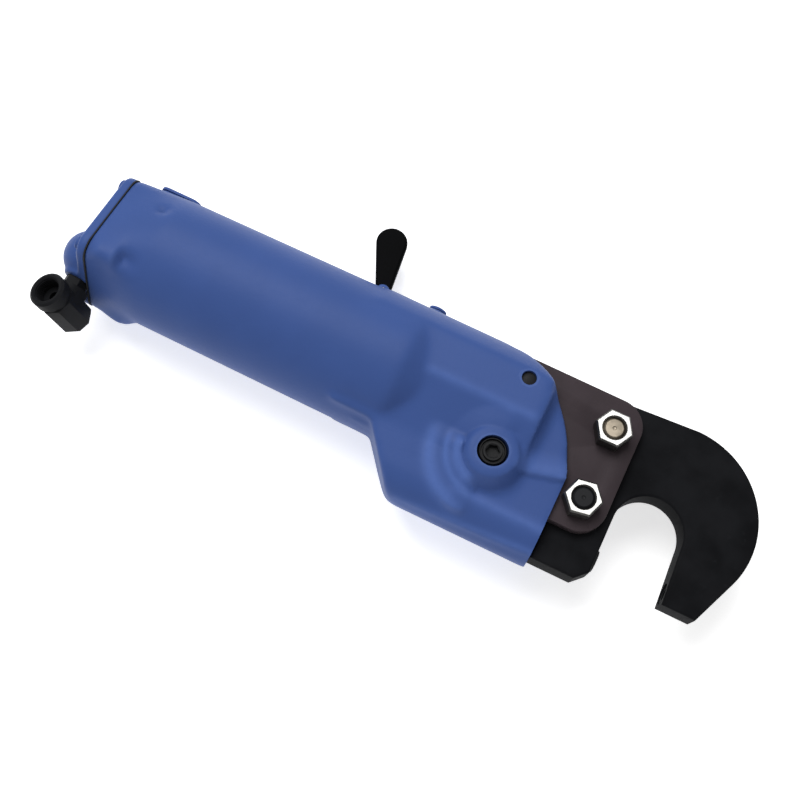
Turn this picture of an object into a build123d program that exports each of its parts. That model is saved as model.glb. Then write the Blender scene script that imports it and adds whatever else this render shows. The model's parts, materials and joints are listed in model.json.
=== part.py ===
"""Pneumatic rivet squeezer with a C-yoke, modelled as it comes apart on a bench.

Millimetres. The origin lies on the barrel axis at the middle of the grip. +X runs along the
barrel towards the yoke, +Y towards the throttle lever, and +Z is up when the tool lies on its side.
"""
from math import acos, atan2, cos, radians, sin, sqrt
import os

from build123d import *

os.makedirs("parts", exist_ok=True)

# Clearances
RUN = 0.05        # radial, between a turning or sliding piece and its bore
SLIP = 0.25       # around pieces that only have to clear each other
TOUCH = 0.15      # between rolling or pushing faces of two bodies

# Barrel and rear flange
REAR_X = -70.0            # joint face between cylinder and backhead
BARREL_LENGTH = 143.0
BARREL_REAR_R = 29.5
BARREL_FRONT_R = 30.5
BARREL_ROUND = 3.0
FLANGE_HALF = 23.5
FLANGE_TURN = -14.0       # degrees about the barrel axis
FLANGE_DROP = 2.0         # flange below the barrel axis
LUG_R = 7.5
LUG_LENGTH = 15.0
FAIRING_LENGTH = 25.0
FRONT_X = REAR_X + BARREL_LENGTH
LUG_PITCH = 2 * (FLANGE_HALF - LUG_R)

# Air cylinder inside the barrel
BORE_R = 20.0
HEAD_WALL = 13.0          # wall between the cylinder and the gear end
GEAR_ROOM = 11.0          # gear end's room inside the barrel
PISTON_T = 9.0
SEAL_T = 2.5
SEAL_LIP = 4.0            # radial width of a piston cup's outer lip
REAR_GAP = 3.0            # behind the rear piston at rest
DIVIDER_T = 7.5
DIVIDER_GAP = 3.5         # between the divider and the front piston at rest
CIRCLIP_T = 1.2
CIRCLIP_DEPTH = 1.0
STROKE = 34.0             # of the pistons
ROD_R = 6.0
ROD_END_R = 3.5
ROD_NUT_AF = 13.0
ROD_NUT_T = 4.5
BUSH_WALL = 3.0
PISTON_SLACK = 0.4        # radial, between a piston and the bore
SEAL_DEPTH = 2.0
CIRCLIP_GAP = 4.0
SPRING_R = 15.0
SPRING_WIRE = 2.2
SPRING_TURNS = 4
ROD_BUSH_R = ROD_R + RUN + BUSH_WALL
PISTON_R = BORE_R - PISTON_SLACK
BORE_LENGTH = BARREL_LENGTH - HEAD_WALL - GEAR_ROOM
HEAD_X = REAR_X + BORE_LENGTH
GEAR_X = HEAD_X + HEAD_WALL
REAR_PISTON_X = REAR_X + REAR_GAP + ROD_NUT_T
DIVIDER_X = REAR_PISTON_X + PISTON_T + STROKE + 2 * CIRCLIP_T
FRONT_PISTON_X = DIVIDER_X + DIVIDER_T + DIVIDER_GAP + CIRCLIP_T
ROD_NUT_X = REAR_PISTON_X - ROD_NUT_T

# Gear end: the cast body round the wedge and crank
SLAB_HALF = 26.0          # half thickness over the pins
SLAB_LOW_Y = 1.0          # where the flat side starts to slope in
SKIRT_Y = -26.0
SKIRT_HALF = 16.5
LIP_HALF = 17.5           # half thickness at the front lip
ROOF_R = 31.0
TUBE_R = 15.0             # outside of the ram tube
GEAR_LENGTH = 78.5        # from the end of the barrel to the front face
SLAB_LENGTH = 57.0        # from the end of the barrel to the start of the lip's ramp
LIP_RAMP = 6.0
LIP_SKIRT_HALF = 15.5
CHIN_REACH = 15.0        # from the barrel's front to the underside's start
CHIN_BACK = 5.0          # from the barrel's front back to the top of the sloping rear face
CHIN_TOP_Y = -28.0
CHIN_ROUND = 9.0
NOSE_SETBACK = 30.0
NOSE_RISE = 0.8
NOSE_REACH = 63.0
NOSE_MID_Y = 13.0
NOSE_ARC_LOW_Y = -17.0
CHIN_X = FRONT_X + CHIN_REACH
CHIN_TOP_X = FRONT_X - CHIN_BACK
NOSE_ARC_START = (FRONT_X + NOSE_SETBACK, ROOF_R + NOSE_RISE)
NOSE_ARC_MID = (FRONT_X + NOSE_REACH, NOSE_MID_Y)
FACE_X = FRONT_X + GEAR_LENGTH
SLAB_X = FRONT_X + SLAB_LENGTH

# Crank, wedge and ram
PIVOT_REACH = 46.7        # from the barrel's front to the crank's pivot
PIVOT_Y = -20.6
PIVOT = (FRONT_X + PIVOT_REACH, PIVOT_Y)
PIVOT_R = 4.75
PIVOT_HEAD_R = 6.1
PIVOT_HEAD_T = 5.6
PIVOT_THREAD_R = 4.0
PIVOT_BOSS_R = 11.0
PIVOT_BOSS_HALF = 24.0
PIVOT_SOCKET_AF = 5.0
CRANK_TURN = 30.0         # degrees over the whole stroke
CRANK_ARM = 18.0          # pivot to cam roller
CRANK_ARM_LIFT = 48.0     # degrees above the rear horizontal at rest
CRANK_HUB_R = 8.5
CRANK_BUSH_WALL = 1.5
CRANK_HALF = 6.7
TOE_ARM = 18.5            # pivot to the toe that pushes the ram
TOE_R = 5.2
TOE_WAIST = 6.6
ROLLER_R = 5.5
ROLLER_HALF = 3.9
ROLLER_PIN_R = 2.5
ROLLER_CHEEK_R = 4.5
WEDGE_TOP_Y = 6.0
WEDGE_NOSE = 4.0          # cam length ahead of the roller at rest
WEDGE_TAIL = 2.0          # cam length behind the roller at full stroke
WEDGE_SOCKET = 11.0
WEDGE_PIN_R = 1.25
WEDGE_LEAD = 2.5          # bevel on the wedge's nose
WEDGE_ROOM = 1.5
CAM_POINTS = 9
CRANK_ROOM_LOW_Y = -26.0
BACKUP_REACH = 47.4       # from the barrel's front to the backup pin
BACKUP_Y = 13.8
BACKUP_PIN = (FRONT_X + BACKUP_REACH, BACKUP_Y)
BACKUP_PIN_R = 3.2
BACKUP_PIN_RECESS = 2.0
BACKUP_R = BACKUP_PIN[1] - WEDGE_TOP_Y - TOUCH
RAM_R = 4.75
RAM_FLANGE_R = 6.0
RAM_FLANGE_T = 3.0
RAM_PROUD = 1.0           # ram standing out of the yoke's jaw at rest
RAM_BUSH_LENGTH = 12.5
RAM_BUSH_WALL = 2.2
RAM_ROOM = 0.6
RAM_WIRE = 1.0
RAM_SPRING_R = 5.5
RAM_SPRING_TURNS = 4
SET_SEAT_R = 4.8
SET_HOLE_R = 2.4
SET_HOLE_DEPTH = 12.0
RAM_Y = PIVOT[1] - TOE_ARM * cos(radians(CRANK_TURN / 2))
TOE_X = PIVOT[0] - TOE_ARM * sin(radians(CRANK_TURN / 2))
RAM_STROKE = 2 * (PIVOT[0] - TOE_X)
RAM_REAR_X = TOE_X + TOE_R + TOUCH
RAM_BUSH_X = FACE_X - RAM_BUSH_LENGTH
RAM_BUSH_R = RAM_R + RUN + RAM_BUSH_WALL
CRANK_BUSH_R = PIVOT_R + RUN + CRANK_BUSH_WALL
PIVOT_SEAT = PIVOT_BOSS_HALF - PIVOT_HEAD_T - 0.8
PIVOT_SHOULDER = 14.0
CAM_STEP = (STROKE + WEDGE_TAIL + WEDGE_NOSE) / (CAM_POINTS - 1)

# Yoke and side plates
PLATE_IN = 7.1            # half of the yoke's thickness
PLATE_T = 5.4
PLATE_SETBACK = 31.0      # from the barrel's front to the plates' rear edge
PLATE_REACH = 100.0       # and to their front edge
PLATE_TOP_Y = 27.4
PLATE_LOW_Y = -33.6
PLATE_ROUND = 12.0
PLATE_STEP_SETBACK = 36.0
PLATE_STEP = 3.2
BOLT_REACH = 87.9
PLATE_REAR_X = FRONT_X + PLATE_SETBACK
PLATE_FRONT_X = FRONT_X + PLATE_REACH
PLATE_STEP_X = FRONT_X + PLATE_STEP_SETBACK
BOLT_X = FRONT_X + BOLT_REACH
BOLT_YS = (11.5, -21.1)
BOLT_R = 4.75
HEX_AF = 14.29
HEX_T = 8.3
HEAD_T = 6.4
HEX_TURN = 10.0
HEX_CHAMFER = 0.6
YOKE_GAP = 0.4            # between the casting's face and the yoke
YOKE_REAR_X = FACE_X + YOKE_GAP
YOKE_TOP_Y = 31.0
YOKE_TOP_DROP = 3.0       # how much lower the top edge is at the rear
YOKE_LOW_Y = -50.0
JAW_REACH = 103.4
JAW_X = FRONT_X + JAW_REACH
JAW_CHAMFER = 5.0
THROAT_R = 15.15
THROAT_Y = -18.9
TIP_FLARE = 1.4           # how far the tip's inner face leans away
TIP_LOW_Y = -44.1
TIP_INSET = 11.65         # tip's outer corner from the rearmost line of the yoke's back
YOKE_R = 39.4
YOKE_SHIFT = 3.7          # back's centre ahead of the throat's
YOKE_ROUND = 1.2
THROAT_X = JAW_X + THROAT_R
YOKE_C = (THROAT_X + YOKE_SHIFT, YOKE_TOP_Y - YOKE_R)
TIP_X = THROAT_X + THROAT_R + TIP_FLARE
TIP_END = (YOKE_C[0] + YOKE_R - TIP_INSET, TIP_LOW_Y)
TIP_SPAN = sqrt((TIP_END[0] - YOKE_C[0]) ** 2 + (TIP_END[1] - YOKE_C[1]) ** 2)
TIP_ANGLE = atan2(TIP_END[1] - YOKE_C[1], TIP_END[0] - YOKE_C[0]) + acos(YOKE_R / TIP_SPAN)
BACK_END = (YOKE_C[0] + YOKE_R * cos(TIP_ANGLE), YOKE_C[1] + YOKE_R * sin(TIP_ANGLE))
PLATE_OUT = PLATE_IN + PLATE_T
RAM_FRONT_X = JAW_X + RAM_PROUD

# Throttle
VALVE_Y, VALVE_Z = 27.2, -14.0
VALVE_R = 3.6
VALVE_SETBACK = 98.0      # from the rear joint to the valve's rear end
VALVE_REAR_X = REAR_X + VALVE_SETBACK
VALVE_LENGTH = 30.0
VALVE_BOSS_R = 6.5
VALVE_BOSS_TAIL = 6.0
SPRING_ROOM_R = 4.4
SPRING_ROOM = 13.0
PLUG_LENGTH = 6.0
PLUG_HEAD_R = 5.4
PLUG_HEAD_T = 2.5
LEVER_SETBACK = 114.0     # from the rear joint to the lever's pin
LEVER_X = REAR_X + LEVER_SETBACK
LEVER_RISE = 7.5          # lever pivot above the valve
LEVER_LEAN = 16.0         # degrees towards the rear at rest
LEVER_REACH = 25.2
LEVER_BULB_R = 7.2
LEVER_NECK_R = 3.2
LEVER_T = 5.0
LEVER_TOE_R = 1.6
LEVER_PIN_R = 1.5
EAR_WALL = 2.6
EAR_FOOT = 9.0
LEVER_ROUND = 1.4
LEVER_SLOT = 13.0
LEVER_SLOT_BACK = 7.5
VALVE_PLAY = 3.0
VALVE_NOTCH_FLARE = 1.8   # room for the lever's leg as it tips
VALVE_SEAL_T = 1.2
VALVE_WIRE = 0.7
VALVE_SPRING_R = 3.0
VALVE_SPRING_TURNS = 5
PLUG_SLOT = 1.2
LEVER_Y = VALVE_Y + LEVER_RISE
VALVE_FRONT_X = VALVE_REAR_X + VALVE_LENGTH
VALVE_TAIL_X = VALVE_REAR_X - VALVE_BOSS_TAIL
VALVE_SEAL_X = VALVE_REAR_X + VALVE_PLAY
PLUG_X = VALVE_FRONT_X + SPRING_ROOM
EAR_R = LEVER_NECK_R + SLIP
NOTCH_HALF = LEVER_TOE_R + SLIP
LEVER_BULB = (LEVER_X - LEVER_REACH * sin(radians(LEVER_LEAN)),
              LEVER_Y + LEVER_REACH * cos(radians(LEVER_LEAN)))

# Backhead, inlet and swivel
HEAD_T_REAR = 4.5
GASKET_T = 0.5
HEAD_SCREW_R = 1.75
HEAD_SCREW_HEAD_R = 3.1
HEAD_SCREW_HEAD_T = 4.0
HEAD_SCREW_PITCH = LUG_PITCH + 3.0
HEAD_SCREW_LENGTH = 14.0
HEAD_SCREW_SINK = 1.5
HEAD_ROUND = 2.0
HEAD_REAR_X = REAR_X - GASKET_T - HEAD_T_REAR
GASKET_LAP = 1.5          # gasket over the edge of the bore
INLET_BACK = 6.0          # inlet behind the rear joint
INLET_X = REAR_X - INLET_BACK
INLET_DOME_R = 12.0
INLET_DOME_Y = -12.5
INLET_NECK_R = 7.0
INLET_LOW_Y = -24.5
STEM_R = 4.6
STEM_BORE_R = 2.4
STEM_THREAD = 9.0
STEM_COLLAR_AF = 9.4
STEM_COLLAR_T = 3.6
STEM_POST_R = 4.2
SWIVEL_R = 8.2
SWIVEL_LENGTH = 27.0
SWIVEL_OPEN = 14.0        # open end from the post's axis
SWIVEL_PORT_R = 5.6
SWIVEL_PORT_DEPTH = 7.0
SWIVEL_TURN = 20.0        # degrees from +Z towards the rear at rest
SWIVEL_NECK_R = 7.2
SWIVEL_NECK = 0.75
SWIVEL_ROUND = 1.2
POST_CLIP_T = 1.2
POST_CLIP_DEPTH = 3.0     # clip below the top of the swivel
POST_FLOOR = 1.0
COLLAR_ROOM_R = STEM_COLLAR_AF / sqrt(3) + 2 * SLIP
SWIVEL_TOP_Y = INLET_LOW_Y - STEM_COLLAR_T - SLIP
SWIVEL_Y = SWIVEL_TOP_Y - SWIVEL_NECK - SWIVEL_R
POST_CLIP_Y = SWIVEL_TOP_Y - POST_CLIP_DEPTH - POST_CLIP_T
POST_CLIP_R = STEM_POST_R + CIRCLIP_DEPTH
POST_LOW_Y = SWIVEL_Y - STEM_BORE_R - POST_FLOOR

# Exhaust pad and oil plug on top of the casting
PAD_SETBACK = 17.0        # from the rear joint to the pad's middle
PAD_X = REAR_X + PAD_SETBACK
PAD_LENGTH = 20.0
PAD_WIDTH = 17.0
PAD_Y = 28.5
PAD_COVER_T = 1.2
PAD_SCREW_R = 1.4
PAD_SCREW_LENGTH = 4.0
PAD_SCREW_HEAD_R = 2.4
PAD_SCREW_HEAD_T = 1.0
PAD_PORT_R = 3.5
PAD_ROUND = 4.0
PAD_EDGE = 0.8
PAD_SLOT = 1.4
PAD_SLOTS = 3
PAD_SLOT_PITCH = 2.6
PAD_SCREW_XS = (PAD_X - 7.0, PAD_X + 7.0)
OIL_BACK = 1.5            # oil plug behind the barrel's front
OIL_X = FRONT_X - OIL_BACK
OIL_BOSS_R = 5.0
OIL_PLUG_R = 3.0
OIL_Y = 32.6
OIL_PLUG_LENGTH = 6.0
OIL_HOLE_R = 1.5
OIL_HEAD_R = 4.0
OIL_HEAD_T = 1.0

FROM_BASE = (Align.CENTER, Align.CENTER, Align.MIN)
FROM_TOP = (Align.CENTER, Align.CENTER, Align.MAX)


def save(builder, name):
    """Label a finished piece and write it under the same name."""
    builder.part.label = name
    export_step(builder.part, f"parts/{name}.step")


def along_x(x, y=0.0, z=0.0):
    """A plane facing +X at a point."""
    return Plane(origin=(x, y, z), x_dir=(0, 1, 0), z_dir=(1, 0, 0))


def across_flange(x, facing=1):
    """A plane on the rear flange's own centre, turned with it and facing along X."""
    turn = radians(FLANGE_TURN)
    return Plane(origin=(x, -FLANGE_DROP, 0), x_dir=(0, cos(turn), sin(turn)), z_dir=(facing, 0, 0))


def along_y(x, y, z=0.0):
    """A plane facing +Y at a point."""
    return Plane(origin=(x, y, z), x_dir=(1, 0, 0), z_dir=(0, 1, 0))


def ring(plane, outer, inner, length):
    """Add a plain ring to the part being built."""
    with BuildSketch(plane) as profile:
        Circle(outer)
        if inner:
            Circle(inner, mode=Mode.SUBTRACT)
    extrude(profile.sketch, amount=length)


def bore(plane, radius, length):
    """Cut a round hole from the part being built."""
    with BuildSketch(plane) as profile:
        Circle(radius)
    extrude(profile.sketch, amount=length, mode=Mode.SUBTRACT)


def room(low, high, half):
    """Cut a box that is centred on the tool's middle plane from the part being built."""
    with BuildSketch(Plane.XY) as profile:
        with Locations(low):
            Rectangle(high[0] - low[0], high[1] - low[1], align=(Align.MIN, Align.MIN))
    extrude(profile.sketch, amount=half, both=True, mode=Mode.SUBTRACT)


def ring_groove(plane, outer, inner, width):
    """Cut a groove round a shaft in the part being built."""
    with BuildSketch(plane) as profile:
        Circle(outer + SLIP)
        Circle(inner, mode=Mode.SUBTRACT)
    extrude(profile.sketch, amount=width, mode=Mode.SUBTRACT)


def pin_plane(centre, z):
    """A plane facing +Z on a pin's axis."""
    return Plane(origin=(centre[0], centre[1], z))


def swivel_plane(distance):
    """A plane across the swivel's outlet, at a distance from the post's axis."""
    out = (-sin(radians(SWIVEL_TURN)), 0, cos(radians(SWIVEL_TURN)))
    centre = Vector(INLET_X, SWIVEL_Y, 0) + distance * Vector(*out)
    return Plane(origin=centre, x_dir=(0, 1, 0), z_dir=out)


def hexes(z, height):
    """Add a chamfered hexagon round each yoke bolt to the part being built."""
    with BuildSketch(Plane.XY.offset(z)) as profile:
        with Locations(*[(BOLT_X, bolt_y) for bolt_y in BOLT_YS]):
            RegularPolygon(HEX_AF / 2, 6, rotation=HEX_TURN, major_radius=False)
    with BuildSketch(Plane.XY.offset(z)) as crown:
        with Locations(*[(BOLT_X, bolt_y) for bolt_y in BOLT_YS]):
            Circle(HEX_AF / sqrt(3))
    blanks = extrude(crown.sketch, amount=height, mode=Mode.PRIVATE)
    prisms = extrude(profile.sketch, amount=height, mode=Mode.PRIVATE)
    for blank, prism in zip(blanks.solids().sort_by(Axis.Y), prisms.solids().sort_by(Axis.Y)):
        rims = blank.edges().filter_by(GeomType.CIRCLE)
        add(prism & blank.chamfer(HEX_CHAMFER, HEX_CHAMFER * sqrt(3), rims))


def gear_section(half, skirt):
    """Draw the cross-section of the gear end: round roof, flat sides, sloping skirt, ram tube."""
    roof_y = sqrt(ROOF_R ** 2 - half ** 2)
    with BuildLine() as outline:
        Polyline((roof_y, -half), (SLAB_LOW_Y, -half), (SKIRT_Y, -skirt), (RAM_Y, -TUBE_R))
        ThreePointArc((RAM_Y, -TUBE_R), (RAM_Y - TUBE_R, 0), (RAM_Y, TUBE_R))
        Polyline((RAM_Y, TUBE_R), (SKIRT_Y, skirt), (SLAB_LOW_Y, half), (roof_y, half))
        ThreePointArc((roof_y, half), (ROOF_R, 0), (roof_y, -half))
    make_face(outline.edges())


def crank_point(radius, angle):
    """A point at a distance and angle from the crank's pivot."""
    return PIVOT[0] + radius * cos(radians(angle)), PIVOT[1] + radius * sin(radians(angle))


def cam_point(travel):
    """A point of the wedge's cam face, where the roller touches it after this much travel."""
    rate = radians(CRANK_TURN) / STROKE
    lift = radians(CRANK_ARM_LIFT) - rate * travel
    x = PIVOT[0] - CRANK_ARM * cos(lift) - travel
    y = PIVOT[1] + CRANK_ARM * sin(lift)
    normal = Vector(-rate * CRANK_ARM * cos(lift), 1 + rate * CRANK_ARM * sin(lift)).normalized()
    return x + (ROLLER_R + TOUCH) * normal.X, y + (ROLLER_R + TOUCH) * normal.Y


def coil(start, radius, wire, length, turns):
    """Add a helical spring along +X from a point to the part being built."""
    with BuildLine():
        path = Helix((length - wire) / turns, length - wire, radius, center=start, direction=(1, 0, 0))
    with BuildSketch(Plane(origin=path @ 0, z_dir=path % 0)) as section:
        Circle(wire / 2)
    sweep(section.sketch, path=path, is_frenet=True)


ROLLER_C = crank_point(CRANK_ARM, 180 - CRANK_ARM_LIFT)
WEDGE_REAR_X = cam_point(STROKE + WEDGE_TAIL)[0]
WEDGE_TIP_X = cam_point(-WEDGE_NOSE)[0]

# The gear end of the casting: its cross-section trimmed by its side outline
with BuildPart() as gear_end:
    with BuildSketch(along_x(HEAD_X)):
        gear_section(SLAB_HALF, SKIRT_HALF)
    extrude(amount=SLAB_X - HEAD_X)
    with BuildSketch(along_x(SLAB_X)):
        gear_section(SLAB_HALF, SKIRT_HALF)
    with BuildSketch(along_x(SLAB_X + LIP_RAMP)):
        gear_section(LIP_HALF, LIP_SKIRT_HALF)
    loft(ruled=True)
    with BuildSketch(along_x(SLAB_X + LIP_RAMP)):
        gear_section(LIP_HALF, LIP_SKIRT_HALF)
    extrude(amount=FACE_X - SLAB_X - LIP_RAMP)
    with BuildSketch(Plane.XY):
        with BuildLine():
            Polyline((FACE_X, NOSE_ARC_LOW_Y), (FACE_X, RAM_Y - TUBE_R), (CHIN_X, RAM_Y - TUBE_R),
                     (CHIN_TOP_X, CHIN_TOP_Y), (HEAD_X, CHIN_TOP_Y), (HEAD_X, NOSE_ARC_START[1]),
                     NOSE_ARC_START)
            ThreePointArc(NOSE_ARC_START, NOSE_ARC_MID, (FACE_X, NOSE_ARC_LOW_Y))
        make_face()
        fillet(vertices().sort_by(Axis.Y)[:2].sort_by(Axis.X)[0], CHIN_ROUND)
    extrude(amount=SLAB_HALF, both=True, mode=Mode.INTERSECT)
    with BuildSketch(Plane.XY):
        with Locations(PIVOT):
            Circle(PIVOT_BOSS_R)
    extrude(amount=PIVOT_BOSS_HALF, both=True)

# The casting: barrel, rear fairing with screw lugs, gear end, valve boss and pads
with BuildPart() as cylinder_body:
    with BuildSketch(across_flange(REAR_X)):
        RectangleRounded(2 * FLANGE_HALF, 2 * FLANGE_HALF, LUG_R)
    with BuildSketch(along_x(REAR_X + FAIRING_LENGTH)):
        Circle(BARREL_REAR_R)
    loft()
    with BuildSketch(along_x(REAR_X + FAIRING_LENGTH)):
        Circle(BARREL_REAR_R)
    with BuildSketch(along_x(FRONT_X)):
        Circle(BARREL_FRONT_R)
    loft()
    fillet(cylinder_body.edges().filter_by(GeomType.CIRCLE).sort_by(Axis.X)[-1], BARREL_ROUND)
    with BuildSketch(across_flange(REAR_X)):
        with GridLocations(LUG_PITCH, LUG_PITCH, 2, 2):
            Circle(LUG_R)
    extrude(amount=LUG_LENGTH)
    with Locations(across_flange(REAR_X + LUG_LENGTH)):
        with GridLocations(LUG_PITCH, LUG_PITCH, 2, 2):
            Sphere(LUG_R)
    with BuildSketch(along_y(PAD_X, 0)):
        RectangleRounded(PAD_LENGTH, PAD_WIDTH, PAD_ROUND)
    extrude(amount=PAD_Y)
    with BuildSketch(along_y(PAD_X, PAD_Y)):
        RectangleRounded(PAD_LENGTH, PAD_WIDTH, PAD_ROUND)
    extrude(amount=PAD_COVER_T, mode=Mode.SUBTRACT)
    with BuildSketch(along_y(OIL_X, 0)):
        Circle(OIL_BOSS_R)
    extrude(amount=OIL_Y)
    ring(along_x(VALVE_TAIL_X, VALVE_Y, VALVE_Z), VALVE_BOSS_R, 0, PLUG_X - VALVE_TAIL_X)
    with Locations((VALVE_TAIL_X, VALVE_Y, VALVE_Z)):
        Sphere(VALVE_BOSS_R)
    with BuildSketch(Plane.XY.offset(VALVE_Z)):
        with BuildLine():
            ThreePointArc((LEVER_X - EAR_R, LEVER_Y), (LEVER_X, LEVER_Y + EAR_R),
                          (LEVER_X + EAR_R, LEVER_Y))
            Polyline((LEVER_X + EAR_R, LEVER_Y), (LEVER_X + EAR_FOOT, VALVE_Y),
                     (LEVER_X - EAR_FOOT, VALVE_Y), (LEVER_X - EAR_R, LEVER_Y))
        make_face()
    extrude(amount=LEVER_T / 2 + EAR_WALL, both=True)
    add(gear_end.part)
    # air cylinder, circlip grooves and rod bush seat
    bore(along_x(REAR_X), BORE_R, BORE_LENGTH)
    for groove_x in (DIVIDER_X - CIRCLIP_T, DIVIDER_X + DIVIDER_T):
        bore(along_x(groove_x), BORE_R + CIRCLIP_DEPTH, CIRCLIP_T)
    bore(along_x(HEAD_X), ROD_BUSH_R, HEAD_WALL)
    with BuildSketch(across_flange(REAR_X)):
        with GridLocations(HEAD_SCREW_PITCH, HEAD_SCREW_PITCH, 2, 2):
            Circle(HEAD_SCREW_R)
    extrude(amount=HEAD_SCREW_LENGTH - HEAD_T_REAR + HEAD_SCREW_SINK, mode=Mode.SUBTRACT)
    # room for the wedge and the crank behind the plates, for the plates, and for the crank's toe
    room((GEAR_X, CRANK_ROOM_LOW_Y), (PLATE_REAR_X, WEDGE_TOP_Y + WEDGE_ROOM), PLATE_IN)
    room((PLATE_REAR_X - SLIP, PLATE_LOW_Y - SLIP), (PLATE_STEP_X, PLATE_TOP_Y - PLATE_STEP + SLIP),
         PLATE_OUT)
    room((PLATE_STEP_X - SLIP, PLATE_LOW_Y - SLIP), (FACE_X + SLIP, ROOF_R + 2), PLATE_OUT)
    room((TOE_X - TOE_R - WEDGE_ROOM, RAM_Y - TOE_R - WEDGE_ROOM),
         (TOE_X + RAM_STROKE + TOE_R + WEDGE_ROOM, PLATE_LOW_Y), PLATE_IN)
    bore(along_x(TOE_X, RAM_Y), RAM_FLANGE_R + RAM_ROOM, RAM_BUSH_X - TOE_X)
    bore(along_x(RAM_BUSH_X, RAM_Y), RAM_BUSH_R, RAM_BUSH_LENGTH)
    # pivot screw and backup pin
    bore(pin_plane(PIVOT, -PIVOT_BOSS_HALF), PIVOT_THREAD_R, PIVOT_BOSS_HALF)
    bore(pin_plane(PIVOT, -PIVOT_SHOULDER), PIVOT_R, 2 * PIVOT_BOSS_HALF)
    bore(pin_plane(PIVOT, PIVOT_SEAT), PIVOT_HEAD_R + 2 * SLIP, PIVOT_BOSS_HALF)
    bore(pin_plane(BACKUP_PIN, -SLAB_HALF), BACKUP_PIN_R, 2 * SLAB_HALF)
    # throttle: valve bore, spring room, plug seat, lever slot and lever pin hole
    bore(along_x(VALVE_REAR_X - VALVE_PLAY, VALVE_Y, VALVE_Z), VALVE_R + RUN, VALVE_LENGTH)
    bore(along_x(VALVE_FRONT_X - VALVE_PLAY, VALVE_Y, VALVE_Z), SPRING_ROOM_R, SPRING_ROOM + VALVE_PLAY)
    bore(along_x(PLUG_X, VALVE_Y, VALVE_Z), PLUG_HEAD_R + SLIP, 2 * PLUG_LENGTH)
    with BuildSketch(Plane.XY.offset(VALVE_Z)):
        with Locations((LEVER_X - LEVER_SLOT_BACK, VALVE_Y)):
            Rectangle(LEVER_SLOT, LEVER_REACH, align=(Align.MIN, Align.MIN))
    extrude(amount=LEVER_T / 2 + SLIP, both=True, mode=Mode.SUBTRACT)
    bore(pin_plane((LEVER_X, LEVER_Y), VALVE_Z - LEVER_T), LEVER_PIN_R, 2 * LEVER_T)
    # exhaust port, exhaust screws and oil hole
    bore(along_y(PAD_X, 0), PAD_PORT_R, PAD_Y)
    for screw_x in PAD_SCREW_XS:
        bore(along_y(screw_x, PAD_Y - PAD_SCREW_LENGTH), PAD_SCREW_R, PAD_SCREW_LENGTH)
    bore(along_y(OIL_X, OIL_Y - OIL_PLUG_LENGTH), OIL_PLUG_R, OIL_PLUG_LENGTH)
    bore(along_y(OIL_X, 0), OIL_HOLE_R, OIL_Y)
save(cylinder_body, "cylinder_body")

# Backhead: the rear cover with the domed air inlet
with BuildPart() as inlet_boss:
    with Locations((INLET_X, INLET_DOME_Y, 0)):
        Sphere(INLET_DOME_R, rotation=(0, 90, 0))
    ring(along_y(INLET_X, INLET_LOW_Y), INLET_NECK_R, 0, INLET_DOME_Y - INLET_LOW_Y)
    bore(along_x(REAR_X - GASKET_T), 2 * FLANGE_HALF, 2 * INLET_DOME_R)

with BuildPart() as backhead:
    with BuildSketch(across_flange(HEAD_REAR_X)):
        RectangleRounded(2 * FLANGE_HALF, 2 * FLANGE_HALF, LUG_R)
    extrude(amount=HEAD_T_REAR)
    fillet(backhead.faces().sort_by(Axis.X)[0].edges(), HEAD_ROUND)
    add(inlet_boss.part)
    bore(along_y(INLET_X, INLET_LOW_Y - 2 * STEM_COLLAR_T), COLLAR_ROOM_R, 2 * STEM_COLLAR_T)
    bore(along_y(INLET_X, INLET_LOW_Y), STEM_R, STEM_THREAD)
    bore(along_y(INLET_X, INLET_LOW_Y), STEM_BORE_R, STEM_THREAD + 2 * STEM_BORE_R)
    bore(along_x(INLET_X, INLET_LOW_Y + STEM_THREAD + STEM_BORE_R), STEM_BORE_R, REAR_X - INLET_X)
    with Locations(across_flange(HEAD_REAR_X, facing=-1)):
        with GridLocations(HEAD_SCREW_PITCH, HEAD_SCREW_PITCH, 2, 2):
            CounterBoreHole(HEAD_SCREW_R, HEAD_SCREW_HEAD_R + SLIP, HEAD_SCREW_SINK, HEAD_T_REAR)
save(backhead, "backhead")

with BuildPart() as backhead_gasket:
    with BuildSketch(across_flange(REAR_X - GASKET_T)):
        RectangleRounded(2 * FLANGE_HALF, 2 * FLANGE_HALF, LUG_R)
        with GridLocations(HEAD_SCREW_PITCH, HEAD_SCREW_PITCH, 2, 2):
            Circle(HEAD_SCREW_R, mode=Mode.SUBTRACT)
    extrude(amount=GASKET_T)
    bore(along_x(REAR_X - GASKET_T), BORE_R - GASKET_LAP, GASKET_T)
save(backhead_gasket, "backhead_gasket")

with BuildPart() as backhead_screws:
    with Locations(across_flange(HEAD_REAR_X + HEAD_SCREW_SINK)):
        with GridLocations(HEAD_SCREW_PITCH, HEAD_SCREW_PITCH, 2, 2):
            Cylinder(HEAD_SCREW_R, HEAD_SCREW_LENGTH - SLIP, align=FROM_BASE)
            Cylinder(HEAD_SCREW_HEAD_R, HEAD_SCREW_HEAD_T, align=FROM_TOP)
    with BuildSketch(across_flange(HEAD_REAR_X + HEAD_SCREW_SINK - HEAD_SCREW_HEAD_T)):
        with GridLocations(HEAD_SCREW_PITCH, HEAD_SCREW_PITCH, 2, 2):
            RegularPolygon(HEAD_SCREW_R * 0.8, 6)
    extrude(amount=HEAD_SCREW_HEAD_T / 2, mode=Mode.SUBTRACT)
save(backhead_screws, "backhead_screws")

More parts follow.
